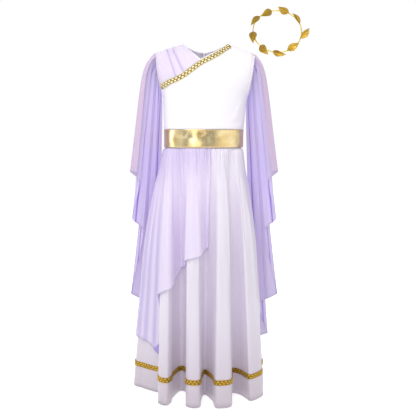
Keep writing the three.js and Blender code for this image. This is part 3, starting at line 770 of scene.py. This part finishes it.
# Soft dents by turn and level, with a height, a width round and a width down, and how deep they go
dent_depth = 0.55
belt_dents = [
    (-38, -262, -2.0, 7, 12), (-28, -250, 1.6, 5, 10), (-12, -258, 1.8, 7, 9), (-2, -246, -1.8, 6, 8),
    (8, -262, -1.6, 4, 14), (16, -248, 1.2, 6, 9), (30, -264, 1.0, 9, 9), (48, -254, -1.0, 7, 12),
    (64, -262, 1.3, 5, 16), (76, -252, -1.5, 4, 16), (-58, -258, 1.2, 8, 12), (-74, -256, -1.2, 5, 16),
    (-110, -258, 1.2, 9, 12), (-138, -264, -1.2, 8, 12), (-160, -252, 1.2, 7, 12), (112, -260, -1.3, 8, 12),
    (134, -252, 1.2, 7, 12), (158, -264, 1.0, 9, 10),
]
belt_height = np.zeros(belt_sheet.shape[:2])
for turn, level, high, wide, tall in belt_dents:
    belt_height += high * bump(belt_turns - turn, wide) * bump(belt_z - level, tall)
belt_sheet = moved_out(belt_sheet, belt_height * dent_depth)
belt_edge = np.minimum(belt_top - belt_z, belt_z - belt_low)
belt = cloth("waist_belt", belt_sheet, belt_thick, foil_finish(), {"edge": belt_edge})
fit(belt, ["belt"])
cut_size(belt_sheet)

# Skirt: white satin in a front and two backs, gathered into the waist under the belt and falling in deep
# folds to a turned hem. The three are seamed at the sides and share one line of folds.
skirt_top = -287.5
skirt_hem = -1000
# How far the skirt's top lies inside the body's outline at the waist, and over how many degrees beside
# the zip its relief fades out
waist_inset = 6.5
zip_calm = 7
# Each row is one fold at the hem, seen from above, from the wearer's right round the front to the back:
# its near flank, its crest and half-width, its far flank, the valley after it, and the turns at the waist
# of its crest and that valley
folds = columns("near_x near_y crest_x crest_y half far_x far_y valley_x valley_y crest_turn valley_turn", [
    (-196, 42, -210, 6, 16, -156, -60, -116, -99, -92, -76),
    (-131, -152, -112, -184, 12, -91, -128, -66, -57, -60, -38),
    (-40, -112, -29, -203, 17, -8, -152, 1, -93, -14, 5),
    (25, -150, 54, -205, 20, 80, -152, 79, -80, 25, 42),
    (107, -98, 141, -143, 15, 173, -92, 163, -48, 57, 76),
    (172, -22, 178, 14, 14, 164, 52, 136, 66, 92, 107),
    (156, 104, 139, 137, 14, 108, 126, 92, 86, 120, 134),
    (86, 136, 64, 174, 17, 40, 142, 30, 94, 148, 163),
    (16, 140, -4, 182, 16, -26, 146, -38, 92, 180, 196),
    (-52, 136, -74, 170, 16, -98, 138, -105, 92, 211, 226),
    (-134, 108, -153, 132, 14, -172, 104, -172, 62, 240, 255),
])
# How far the skirt has opened at each level, from the waist's line to the hem's
flare = columns("z open", [
    (-287.5, 0), (-293, 0.07), (-303, 0.105), (-320, 0.14), (-340, 0.172), (-362, 0.205), (-405, 0.3),
    (-437, 0.37), (-487, 0.47), (-525, 0.535), (-580, 0.61), (-658, 0.685), (-744, 0.765), (-844, 0.862),
    (-929, 0.94), (-1000, 1),
])
fold_count = len(folds["half"])
crest = np.stack([folds["crest_x"], folds["crest_y"]], -1)
round_crest = np.stack([-crest[:, 1], crest[:, 0]], -1) / np.linalg.norm(crest, axis=1, keepdims=True)
half = folds["half"][:, None]
stations = np.stack([
    np.stack([folds["near_x"], folds["near_y"]], -1), crest - round_crest * half, crest + round_crest * half,
    np.stack([folds["far_x"], folds["far_y"]], -1), np.stack([folds["valley_x"], folds["valley_y"]], -1),
], 1).reshape(-1, 2)


def closed_line(points, steps):
    """A smooth closed line through points, whose pull follows the square root of their distances."""
    line = []
    for k in range(len(points)):
        p = [points[(k + m) % len(points)] for m in (-1, 0, 1, 2)]
        d = [max(np.linalg.norm(p[m + 1] - p[m]) ** 0.5, 1e-4) for m in range(3)]
        first = ((p[1] - p[0]) / d[0] - (p[2] - p[0]) / (d[0] + d[1]) + (p[2] - p[1]) / d[1]) * d[1]
        last = ((p[2] - p[1]) / d[1] - (p[3] - p[1]) / (d[1] + d[2]) + (p[3] - p[2]) / d[2]) * d[1]
        t = (np.arange(steps) / steps)[:, None]
        line.append(p[1] + first * t + (3 * (p[2] - p[1]) - 2 * first - last) * t ** 2
                    + (2 * (p[1] - p[2]) + first + last) * t ** 3)
    return np.concatenate(line)


hem_steps = 60
hem_line = closed_line(stations, hem_steps)
hem_line = np.concatenate([hem_line, hem_line[:1]])
hem_run = run_of(hem_line)
hem_length = hem_run[-1]
# The cloth rounds off the corners of that line, over a width to each side
even_count = 2400
rounding_width = 13
shifts = np.arange(-24, 25)
evenly = np.linspace(0, hem_length, even_count + 1)[:-1]
plain = read_at(evenly, hem_run, hem_line)
weights = bump(shifts * hem_length / even_count, rounding_width)
weights /= weights.sum()
rounded_line = sum(weight * np.roll(plain, shift, axis=0) for weight, shift in zip(weights, shifts))
rounded_line = np.concatenate([rounded_line, rounded_line[:1]])
rounded_run = np.r_[evenly, hem_length]


def share_at(fold, station):
    """The share of the way round the hem at a fold's station, from 0, its near flank, to 4, its valley."""
    return hem_run[round((fold * 5 + station) * hem_steps)] / hem_length


# Where each crest and each valley hangs from: its share round the hem and its turn at the waist, with
# the last and the first repeated past the ends
hang_shares = []
hang_turns = []
for k in range(fold_count):
    hang_shares += [share_at(k, 1.5), share_at(k, 4)]
    hang_turns += [folds["crest_turn"][k], folds["valley_turn"][k]]
hangings = {
    "share": np.array([hang_shares[-1] - 1] + hang_shares + [hang_shares[0] + 1]),
    "turn": np.array([hang_turns[-1] - 360] + hang_turns + [hang_turns[0] + 360], float),
}
# The gathers are uneven, and the same on each run
uneven = np.random.default_rng(7)
gather_count = 64
gather_places = (np.arange(gather_count) + uneven.uniform(-0.28, 0.28, gather_count)) / gather_count
gather_heights = uneven.uniform(2.5, 7.0, gather_count)
gather_lengths = uneven.uniform(22, 120, gather_count)


def off_round(share, place):
    """How far a share round the hem is from a place on it, the short way round."""
    return (share - place + 0.5) % 1 - 0.5


def gather_relief(share, z):
    """Narrow troughs of the gathers below the belt, each with its own place, depth and length."""
    relief = np.zeros(np.broadcast(share, z).shape)
    below = np.maximum(skirt_top - z, 0)
    for place, deep, long in zip(gather_places, gather_heights, gather_lengths):
        off = np.abs(off_round(share, place)) * gather_count
        rise = ease(0.3 + below / 8) * np.exp(-(below / long) ** 1.5)
        relief -= deep * rise * bump(off, 0.17 + below / 400)
    return relief + 1.2 * np.exp(-below / 60)


# Long soft creases of the skirt, from the belt down: where each lies round the hem, as a fold and a
# station in it, with its height, its width round as a share, and the levels where it starts and ends
skirt_creases = [
    (0, 1.2, 4, 0.0045, -330, -760), (0, 2.4, -4, 0.005, -420, -1000), (1, 0.7, 4, 0.004, -340, -900),
    (1, 1.9, 4.5, 0.0042, -320, -640), (1, 2.6, -4, 0.0045, -500, -1000), (2, 0.7, 5, 0.0045, -360, -1000),
    (2, 1.7, -3.5, 0.004, -330, -720), (2, 2.4, 4.5, 0.0045, -450, -1000), (3, 0.6, 4.5, 0.0045, -340, -820),
    (3, 1.5, -3, 0.005, -560, -1000), (3, 2.4, 4, 0.004, -330, -700), (4, 0.6, 4.5, 0.0045, -380, -1000),
    (4, 1.6, -4, 0.004, -330, -620), (4, 2.5, 4, 0.0045, -420, -940), (5, 1.4, 4, 0.005, -340, -860),
    (6, 0.8, 4.5, 0.0045, -330, -900), (6, 2.2, -4, 0.0045, -400, -1000), (7, 1.1, 4, 0.0045, -340, -700),
    (7, 2.3, 4.5, 0.0045, -420, -1000), (8, 0.8, -4, 0.0045, -380, -1000), (8, 2.2, 4, 0.004, -340, -760),
    (9, 0.9, 4.5, 0.0045, -340, -940), (9, 2.3, -3.5, 0.0045, -460, -1000), (10, 1.1, 4, 0.005, -340, -800),
    (10, 2.3, 4, 0.0045, -420, -1000),
]


def crease_relief(share, z):
    """How far the long soft creases raise the skirt."""
    relief = np.zeros(np.broadcast(share, z).shape)
    for fold, station, high, wide, start, end in skirt_creases:
        off = off_round(share, share_at(fold, station))
        wander = 0.0012 * np.sin(z / 90 + fold)
        fade = ease((start - z) / 60) * (ease((z - end) / 120) if end > skirt_hem else 1)
        relief += high * fade * bump(off - wander, wide)
    return relief


def skirt_point(share, z):
    """Places on the skirt, by the share of the way round the hem and the level. The gathers and the
    creases stop short of the zip."""
    round_it = share % 1
    hem = read_at(round_it * hem_length, rounded_run, rounded_line)
    turn = curve(hangings, "share", "turn", round_it)
    waist = waist_point(turn, np.maximum(z, belt_low), waist_inset)
    open_to = curve(flare, "z", "open", z)[..., None]
    calm = ease(np.abs(np.abs(turn) - 180) / zip_calm)
    away = waist[..., :2] / np.linalg.norm(waist[..., :2], axis=-1, keepdims=True)
    raised = calm * (gather_relief(round_it, z) + crease_relief(round_it, z))
    plan = mix(waist[..., :2], hem, open_to) + away * raised[..., None]
    return np.concatenate([plan, np.broadcast_to(z, share.shape)[..., None]], -1)


def skirt_sheet(start, end, step, levels):
    """A sheet of the skirt between two shares, at levels that may change along it."""
    share = np.linspace(start, end, max(2, round((end - start) / step) + 1))
    z = levels(share)
    sheet = skirt_point(np.broadcast_to(share, z.shape), z)
    for first, second in ((0, 1), (-1, -2)):
        draw = sheet[:, second] - sheet[:, first]
        sheet[:, first] += draw / np.linalg.norm(draw, axis=1, keepdims=True) * seam_gap
    return sheet


cad_columns = 132


def cad_share(fold, station):
    """A station's share, moved to the nearest column of the solids, where their seams are."""
    return round(share_at(fold, station) * cad_columns) / cad_columns


skirt_step = 1 / 760
skirt_levels = np.r_[np.linspace(skirt_top, -330, 14)[:-1], np.linspace(-330, -420, 14)[:-1],
                     np.linspace(-420, skirt_hem, 44)]
# Painted shade: darker tones than the bodice's satin, and edge shade that reaches far up from the hem
shaded_skirt_satin = satin_finish("shaded_skirt_satin", stitched=17, reach=260,
                           low=shown(221, 214, 227), high=shown(226, 220, 232))
centre_back = cad_share(8, 1.5)
right_seam = cad_share(5, 3)
skirt_panels = {
    "skirt_front": (0, right_seam),
    "skirt_back_left": (right_seam, centre_back),
    "skirt_back_right": (centre_back, 1),
}
for node, (start, end) in skirt_panels.items():
    sheet = skirt_sheet(start, end, skirt_step, lambda share: skirt_levels[:, None] + 0 * share)
    piece = cloth(node + "_satin", sheet, satin_thick, shaded_skirt_satin, {"edge": sheet[..., 2] - skirt_hem})
    fit(piece, [node])
    cut_size(sheet)

# Hem braid: the same braid in a deeper gold, sewn flat round the skirt above its hem, over every fold.
# Its ends meet at the centre back.
hem_band = np.linspace(-925.5, -938.5, 5)
hem_tape_step = 1 / 900
hem_tape_off = 1.2
hem_tape_sheet = moved_out(
    skirt_sheet(centre_back, centre_back + 1, hem_tape_step, lambda share: hem_band[:, None] + 0 * share),
    hem_tape_off)
hem_braid_gold = gold_finish("hem_braid_gold", shown(176, 140, 48), shown(232, 198, 96),
                             rough=0.28, grain=420)
hem_tape_gold = gold_finish("hem_tape_gold", shown(120, 88, 24), shown(168, 132, 44),
                            rough=0.4, grain=900)
hem_tape = cloth("hem_tape", hem_tape_sheet, tape_thick, hem_tape_gold)
fit(hem_tape, ["hem_trim"])
hem_knots = mesh_piece("hem_knots", *braid_trim(hem_tape_sheet, pitch=10.8, size=4.8), hem_braid_gold)
fit(hem_knots, [])
cut_size(hem_tape_sheet)

# Overskirt: lavender chiffon gathered into the waist over the skirt, from the centre front round the
# wearer's right side to the centre back, with a slanting hem that drops to a corner.
overskirt_hem = columns("turn z", [
    (-182, -770), (-150, -800), (-120, -828), (-95, -846), (-84, -858), (-76, -877), (-70, -735),
    (-64, -700), (-50, -668), (-38, -640), (-22, -608), (-14, -594), (0, -580), (14, -571),
])
overskirt_end = 1 + cad_share(2, 4.55)
# How far it stands off the skirt, at its gathers and at its hem
overskirt_top_off = 1.6
overskirt_hem_off = 7.1


def overskirt_turn(share):
    """The turn at the waist, from -182 at the centre back to 14 at the free front edge."""
    turn = curve(hangings, "share", "turn", share % 1)
    return np.where(turn > 15, turn - 360, turn)


def overskirt_levels(share):
    """Levels from the waist to the slanting hem, closer together at the gathers."""
    hem = curve(overskirt_hem, "turn", "z", overskirt_turn(share))[None, :]
    down = np.r_[np.linspace(0, 0.3, 22)[:-1], np.linspace(0.3, 1, 40)][:, None]
    return mix(skirt_top, hem, down)


overskirt_sheet = skirt_sheet(centre_back, overskirt_end, skirt_step, overskirt_levels)
overskirt_columns = overskirt_sheet.shape[1]
fall = np.linspace(0, 1, len(overskirt_sheet))[:, None]
column = np.arange(overskirt_columns)[None, :]
overskirt_relief = 0.8 * np.sin(column / 4.6 + 2.2 * np.sin(column / 19)) * ease(fall * 6)
overskirt_relief = overskirt_relief * ease((overskirt_columns - 1 - column) / 24)
overskirt_off = mix(overskirt_top_off, overskirt_hem_off, fall)
overskirt_sheet = moved_out(overskirt_sheet, overskirt_off + overskirt_relief * (1 - 0.4 * fall))
# Painted deeper colour: a little at the gathers, partly the gathered cloth and partly painted shade,
# and in streaks on the side that hangs lowest, painted shade of narrow pleats that are not built
side_turn = overskirt_turn(np.linspace(centre_back, overskirt_end, overskirt_columns))[None, :]
painted_pleat_streaks = ease((-60 - side_turn) / 10) * (0.2 + 0.18 * np.sin(column / 1.7 + np.sin(column / 7)))
overskirt_fold_shade = np.maximum(0.22 * (1 - ease(fall * 2.2)), painted_pleat_streaks * ease(fall * 2))
overskirt_chiffon = chiffon_finish("overskirt_chiffon", alpha=0.58, strong=shown(238, 229, 247),
                                   pale=shown(244, 238, 250), painted_glow=0.15)
overskirt = cloth("over_skirt", overskirt_sheet, chiffon_thick, overskirt_chiffon,
                  {"hem": length_along(overskirt_sheet[::-1], 0)[::-1], "folded": overskirt_fold_shade})
fit(overskirt, ["overskirt"])
# Its lowest corner is turned up a little, and shows the cloth double
low = int(overskirt_sheet[-1, :, 2].argmin())
corner_tip = overskirt_sheet[-1, low]
corner_side = overskirt_sheet[-1, low - 9]
corner_top = overskirt_sheet[-4, low]
from_top = np.linspace(1, 0.04, 14)[::-1, None, None]
round_tip = np.linspace(0, 1, 12)[None, :, None]
corner_sheet = mix(corner_top, mix(corner_side, corner_tip, round_tip), from_top)
corner_sheet = moved_out(corner_sheet, 3.5 + 2 * np.sin(math.pi * round_tip[..., 0]) * from_top[..., 0])
turned_corner = cloth("turned_corner", corner_sheet, chiffon_thick, overskirt_chiffon,
                      {"hem": 9, "folded": 0.75})
fit(turned_corner, [])
cut_size(overskirt_sheet, (0, 1))

# Cape sleeves: pleated lavender chiffon set into the armholes, open down the front and hanging behind
# the skirt, with a hem cut in steps.
sleeve_reference = -357
# Each row is a crease of the folded cloth, from the free front edge to the back: its place along the
# armhole, where it hangs at the reference level, how it leans out and back, and its hem's level
sleeve_creases = columns("seam x lean y lean_back hem", [
    (0, 196, 0.092, -28, 0, -362),
    (0.07, 219, 0.13, -13, 0, -357),
    (0.17, 186, 0.104, -1, 0.01, -386),
    (0.27, 199.5, 0.113, 14, 0.02, -501),
    (0.38, 168, 0.08, 26, 0.05, -536),
    (0.49, 181.5, 0.112, 42, 0.06, -738),
    (0.6, 148, 0.045, 58, 0.115, -778),
    (0.71, 157, 0.0873, 74, 0.13, -882),
    (0.85, 132, 0.03, 88, 0.15, -905),
    (1, 142, 0.04, 102, 0.16, -880),
])
# The seam's share that goes over the shoulder tip, its ends' levels, and how far it stands off the bodice
over_tip = 0.1
seam_front_z = -24
seam_low_z = -134
seam_off = 2.2


def armhole_point(along, side):
    """The armhole seam: over the shoulder tip from a little in front of it, and down the back."""
    z = np.where(along < over_tip, mix(seam_front_z, tip[side][1], along / over_tip),
                 mix(tip[side][1], seam_low_z, (along - over_tip) / (1 - over_tip)))
    edge = side * body_width(side, z)
    point = np.where((along < over_tip)[:, None], body_point(edge, z, front), body_point(edge, z, back))
    return point + np.array([side * seam_off, 0, 0])


# The sharp lines painted deeper, partly where the cloth lies double and partly as painted shade in the
# pleats' crevices, by their places among the creases, and the narrow pleats that fold back over
# themselves, by their places and widths
sleeve_shaded_lines = [1.05, 1.5, 2.2, 2.9, 3.35, 4.0, 4.5, 5.0, 5.5, 6.1, 6.6, 7.0, 7.5, 8.0, 8.5]
sleeve_pleats = [(1.5, 0.14), (2.9, 0.12), (4.0, 0.16), (5.5, 0.14), (6.1, 0.16), (7.0, 0.12), (8.0, 0.16)]
sleeve_steps = 32
sleeve_rows = 80


def sleeve_sheet(side):
    """A sleeve's points, the place of each column among the creases, and its painted sharp lines."""
    count = len(sleeve_creases["seam"]) - 1
    even = np.linspace(0, count, count * sleeve_steps + 1)
    place, apart, _ = pleated(even, sleeve_pleats)
    folded = sum(bump(even - at, 0.06) for at in sleeve_shaded_lines)
    place = np.clip(place, 0, count)
    k = np.minimum(place.astype(int), count - 1)
    share = place - k
    rounded = mix(share, ease(share), 0.5)
    crease = {}
    for name, values in sleeve_creases.items():
        blend = rounded if name in ("x", "lean") else share
        crease[name] = mix(values[k], values[k + 1], blend)
    seam = armhole_point(crease["seam"], side)
    down = (np.linspace(0, 1, sleeve_rows) ** 1.5)[:, None]
    z = mix(seam[:, 2], crease["hem"], down)

    def fan(level):
        """Where the creases hang at a level, below the pull of the seam."""
        fallen = sleeve_reference - level
        return np.stack([side * (crease["x"] + crease["lean"] * fallen),
                         crease["y"] + crease["lean_back"] * fallen, level], -1)

    pull = np.exp((z - seam[:, 2]) / 23)[..., None]
    hung = fan(z) + (seam - fan(seam[:, 2]))[None] * pull
    swing = 1.6 * np.sin(place * 2.3 + z / 80) * ease(down * 2)
    hung[..., 0] += side * swing * 0.5
    hung[..., 1] += 1.3 * apart * ease(down * 6) + 0.7 * np.sin(place * 11 + z / 60) * ease(down * 3)
    return hung, place, folded


sleeve_chiffon = chiffon_finish("sleeve_chiffon", alpha=0.76, strong=shown(196, 185, 216),
                                pale=shown(204, 194, 222), painted_glow=0.24, rosy=shown(198, 177, 200))
for side, word in ((1, "left"), (-1, "right")):
    sheet, place, folded = sleeve_sheet(side)
    # Marks: the sharp lines, painted deeper, and a painted lift of light on the inner panels near the top,
    # which lie in shade
    marks = {
        "hem": length_along(sheet[::-1], 0)[::-1],
        "rosy": ease(1.9 - place)[None, :],
        "folded": np.minimum(folded, 1)[None, :],
        "inner_lift": ease((place - 1.8) / 1.5)[None, :] * ease((sheet[..., 2] + 620) / 300),
    }
    piece = cloth(f"cape_sleeve_{word}", sheet, chiffon_thick, sleeve_chiffon, marks)
    fit(piece, [f"sleeve_{word}"])
    cut_size(sheet, (0, 1))

# Zip: a white coil zip, sewn between the two backs from the neck to the belt. Its slider and the pull tab
# that swings on it are enamelled metal, and keep the shapes of their solids.
enamel = Finish("zip_enamel_white", Metallic=0.3, Roughness=0.3)
enamel.feed("Base Color", enamel.between(enamel.noise(300, 2), shown(226, 224, 232), shown(244, 242, 248)))
enamel.raise_up(enamel.noise(500, 2), distance=0.0003, strength=0.3)
for node in ("zip_slider", "zip_pull"):
    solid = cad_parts[node]
    solid.data.materials.clear()
    solid.data.materials.append(enamel.material)
tooth_reach = 1.6
tooth_pitch = 1.6
teeth_levels = np.arange(-26, -233, -tooth_pitch)
teeth_line = body_point(np.zeros(len(teeth_levels)), teeth_levels, back)
teeth = []
for k, (x, y, z) in enumerate(teeth_line):
    reach = tooth_reach if k % 2 else -tooth_reach
    line = np.array([(reach, y + 0.2, z), (reach * 0.4, y + 1.1, z), (-reach * 0.3, y + 0.9, z)])
    teeth.append(tube(line, radius=0.5, sides=5))
zip_teeth = mesh_piece("zip_teeth", *joined(teeth), enamel.material)
fit(zip_teeth, [])

# Circlet: a ring of two gold wires twisted together, tilted a little to the viewer, with nine stamped
# gold leaves fixed along it by their stems, that all point one way.
ring_radius = 71
strand_turns = 60
strand_off = 0.85
strand_radius = 1.15
ring_tilt = math.radians(25)
ring_centre = np.array([214.5, -10, 52.5])
tilt = np.array([[1, 0, 0], [0, math.cos(ring_tilt), math.sin(ring_tilt)],
                 [0, -math.sin(ring_tilt), math.cos(ring_tilt)]])


def turned(points, axis, angle):
    """Points turned about a main axis."""
    a, b = [(1, 2), (2, 0), (0, 1)][axis]
    made = points.copy()
    made[..., a] = points[..., a] * math.cos(angle) - points[..., b] * math.sin(angle)
    made[..., b] = points[..., a] * math.sin(angle) + points[..., b] * math.cos(angle)
    return made


turn = np.linspace(0, 2 * math.pi, 240, endpoint=False)
strands = []
for phase in (0, math.pi):
    coil = turn * strand_turns + phase
    radius = ring_radius + strand_off * np.cos(coil)
    strand = np.stack([radius * np.cos(turn), strand_off * np.sin(coil), radius * np.sin(turn)], -1)
    strands.append(tube(strand @ tilt.T + ring_centre, strand_radius, sides=8, closed=True))
wire_gold = gold_finish("wire_gold", shown(226, 200, 50), shown(244, 222, 90),
                        rough=0.3, grain=200, metal=0.45)
wire = mesh_piece("circlet_wire", *joined(strands), wire_gold)
fit(wire, ["wreath_wire"])

# Leaves by the place of their base round the ring, the direction of their tip in its plane, their roll,
# how far they rise off the wire, and their size
leaves = columns("around points roll rise length width", [
    (102, 221, -27, 18, 47, 24), (60, 164, -52, 29, 39, 25), (19, 128, 12, 21, 39, 17),
    (338, 46, 33, 22, 40, 22), (292, 23, 24, 26, 40, 24), (257, 328, 52, 24, 47, 20),
    (224, 298, 30, 18, 47, 25), (182, 268, 7, 13, 48, 25), (135, 234, 0, 12, 49, 20),
])
# The wire's radius and how far off it a stem is seated, and the leaf's thickness, fold, arch, stem and
# veins
wire_radius = 1.4
leaf_seat = 0.5
leaf_thick = 0.6
leaf_fold = math.radians(26)
leaf_arch = 12
stem_share = 0.12
vein_count = 12
vein_slant = 0.45


def leaf_finish():
    """Stamped gilt leaf: a keel, side veins pressed in, and darker lows between them."""
    finish = Finish("leaf_gilt", Metallic=0.92)
    along, across = finish.mark("along"), finish.mark("across")
    vein = (((along - across.math("ABSOLUTE") * vein_slant) * vein_count * math.pi).math("SINE")) ** 2
    rib = (1 - across.math("ABSOLUTE") * 9).clamped()
    cloud = finish.noise(60, 3)
    tone = finish.between(cloud, shown(176, 136, 38), shown(218, 186, 84))
    low = (1 - vein) * (1 - rib) * 0.4
    finish.feed("Base Color", finish.between(low, tone, shown(118, 80, 14)))
    finish.feed("Roughness", cloud * 0.15 + 0.26)
    finish.raise_up(vein * 0.6 + rib, distance=0.0007, strength=0.4)
    return finish.material


leaf_gilt = leaf_finish()
along = np.linspace(0, 1, 30)[:, None]
across = np.linspace(-1, 1, 21)[None, :]
for k in range(len(leaves["around"])):
    leaf = {name: values[k] for name, values in leaves.items()}
    belly = np.sin(math.pi * along ** 0.85) ** 1.1
    half_width = leaf["width"] / 2 * np.maximum(mix(stem_share, 0.03, along), belly)
    dip = 0.35 * np.sin(vein_count * math.pi * (along - np.abs(across) * vein_slant)) * belly
    blade = np.stack(np.broadcast_arrays(
        along * leaf["length"],
        -np.abs(across) * half_width * math.sin(leaf_fold) - leaf_arch * along * (1 - along) - dip,
        across * half_width * math.cos(leaf_fold)), -1)
    blade = turned(blade, 0, math.radians(leaf["roll"]))
    blade = turned(blade, 2, -math.radians(leaf["rise"]))
    blade = turned(blade, 1, -math.radians(leaf["points"]))
    stem = stem_share * leaf["width"] / 2 * abs(math.sin(math.radians(leaf["roll"])))
    stem_y = -(wire_radius + leaf_seat + 0.4 * stem)
    around = math.radians(leaf["around"])
    base = np.array([ring_radius * math.cos(around), stem_y, ring_radius * math.sin(around)])
    blade = (blade + base) @ tilt.T + ring_centre
    piece = cloth(f"gilt_leaf_{k + 1}", blade, leaf_thick, leaf_gilt, {"along": along, "across": across})
    fit(piece, [f"leaf_{k + 1}"])

# Studio: a pale floor, white surroundings that are dimmer behind the camera, so that the foil has
# something dark to mirror, six soft lights, and the camera of the photo. Lights are in metres and watts.
floor_white = Finish("floor_white", Roughness=0.9, Emission_Strength=0.62)
floor_tone = floor_white.between(floor_white.noise(2, 1), (0.93, 0.93, 0.93, 1), (0.95, 0.95, 0.95, 1))
floor_white.feed("Base Color", floor_tone)
floor_white.feed("Emission Color", floor_tone)
floor_z = -1004
floor_corners = np.array([(-9000, -5000), (9000, -5000), (9000, 9000), (-9000, 9000)], float)
floor_points = np.column_stack([floor_corners, np.full(4, floor_z)])
floor = mesh_piece("floor", floor_points, np.array([[0, 1, 2, 3]]), floor_white.material)
floor.visible_diffuse = False

world = bpy.data.worlds.new("soft_white")
bpy.context.scene.world = world
surround = Nodes(world)
towards_dark = (0.25, 0.97, 0)
direction = Value(surround.node("ShaderNodeTexCoord").outputs["Generated"])
facing = surround.node("ShaderNodeVectorMath", {"operation": "DOT_PRODUCT"}, {0: direction, 1: towards_dark})
light = surround.node("ShaderNodeMapRange", None, {
    "Value": Value(facing.outputs["Value"]), "From Min": -0.96, "From Max": -0.82,
    "To Min": 0.2, "To Max": 0.7})
seen = Value(surround.node("ShaderNodeLightPath").outputs["Is Camera Ray"])
strength = Value(light.outputs[0]).math("MAXIMUM", seen)
background = surround.node("ShaderNodeBackground", None, {"Color": (1, 1, 1, 1), "Strength": strength})
surround.node("ShaderNodeOutputWorld", None, {"Surface": Value(background.outputs[0])})


def aim(direction):
    """The turns that point a lamp in a direction."""
    x, y, z = direction / np.linalg.norm(direction)
    return (math.acos(-z), 0, math.atan2(y, x) - math.pi / 2)


def softbox(name, place, target, size, power):
    """A soft light with a place and a target, a width and height, and a power."""
    lamp = bpy.data.lights.new(name, "AREA")
    lamp.shape = "RECTANGLE"
    lamp.size, lamp.size_y = size
    lamp.energy = power
    made = bpy.data.objects.new(name, lamp)
    made.location = place
    made.rotation_euler = aim(np.array(target) - np.array(place))
    bpy.context.scene.collection.objects.link(made)
    return made


softbox("key", (-0.62, -2.6, 0.5), (0, 0, -0.2), (0.75, 1.7), 8)
softbox("top", (-0.4, -1.0, 0.9), (0, 0, -0.3), (0.8, 0.8), 9)
softbox("side", (-2.0, -0.25, -0.2), (0, 0, -0.3), (0.5, 1.6), 6)
softbox("fill", (1.9, -1.3, -0.2), (0, 0, -0.25), (2.4, 1.2), 4.2)
# A low lamp that only the foil mirrors
softbox("low", (-0.72, -2.08, -0.38), (0, 0, -0.26), (0.9, 0.22), 2.6).visible_diffuse = False
# Fills the folds from the camera's side, and isn't mirrored by the foil
softbox("front", (0.1, -2.6, 0.3), (0, 0, -0.35), (1.4, 1.0), 13).visible_glossy = False

# The camera looks down a little, with a focal length given in the photo's own pixels
photo_width = 416
focal_pixels = 775.6
camera_drop = 3.35
camera = bpy.data.cameras.new("camera")
camera.sensor_width = 36
camera.lens = camera.sensor_width * focal_pixels / photo_width
camera.shift_y = -0.07
viewer = bpy.data.objects.new("camera", camera)
viewer.location = (0.0118, -2.3, -0.246)
viewer.rotation_euler = (math.radians(90 - camera_drop), 0, 0)
bpy.context.scene.collection.objects.link(viewer)
bpy.context.scene.camera = viewer
bpy.context.scene.view_settings.view_transform = "Standard"
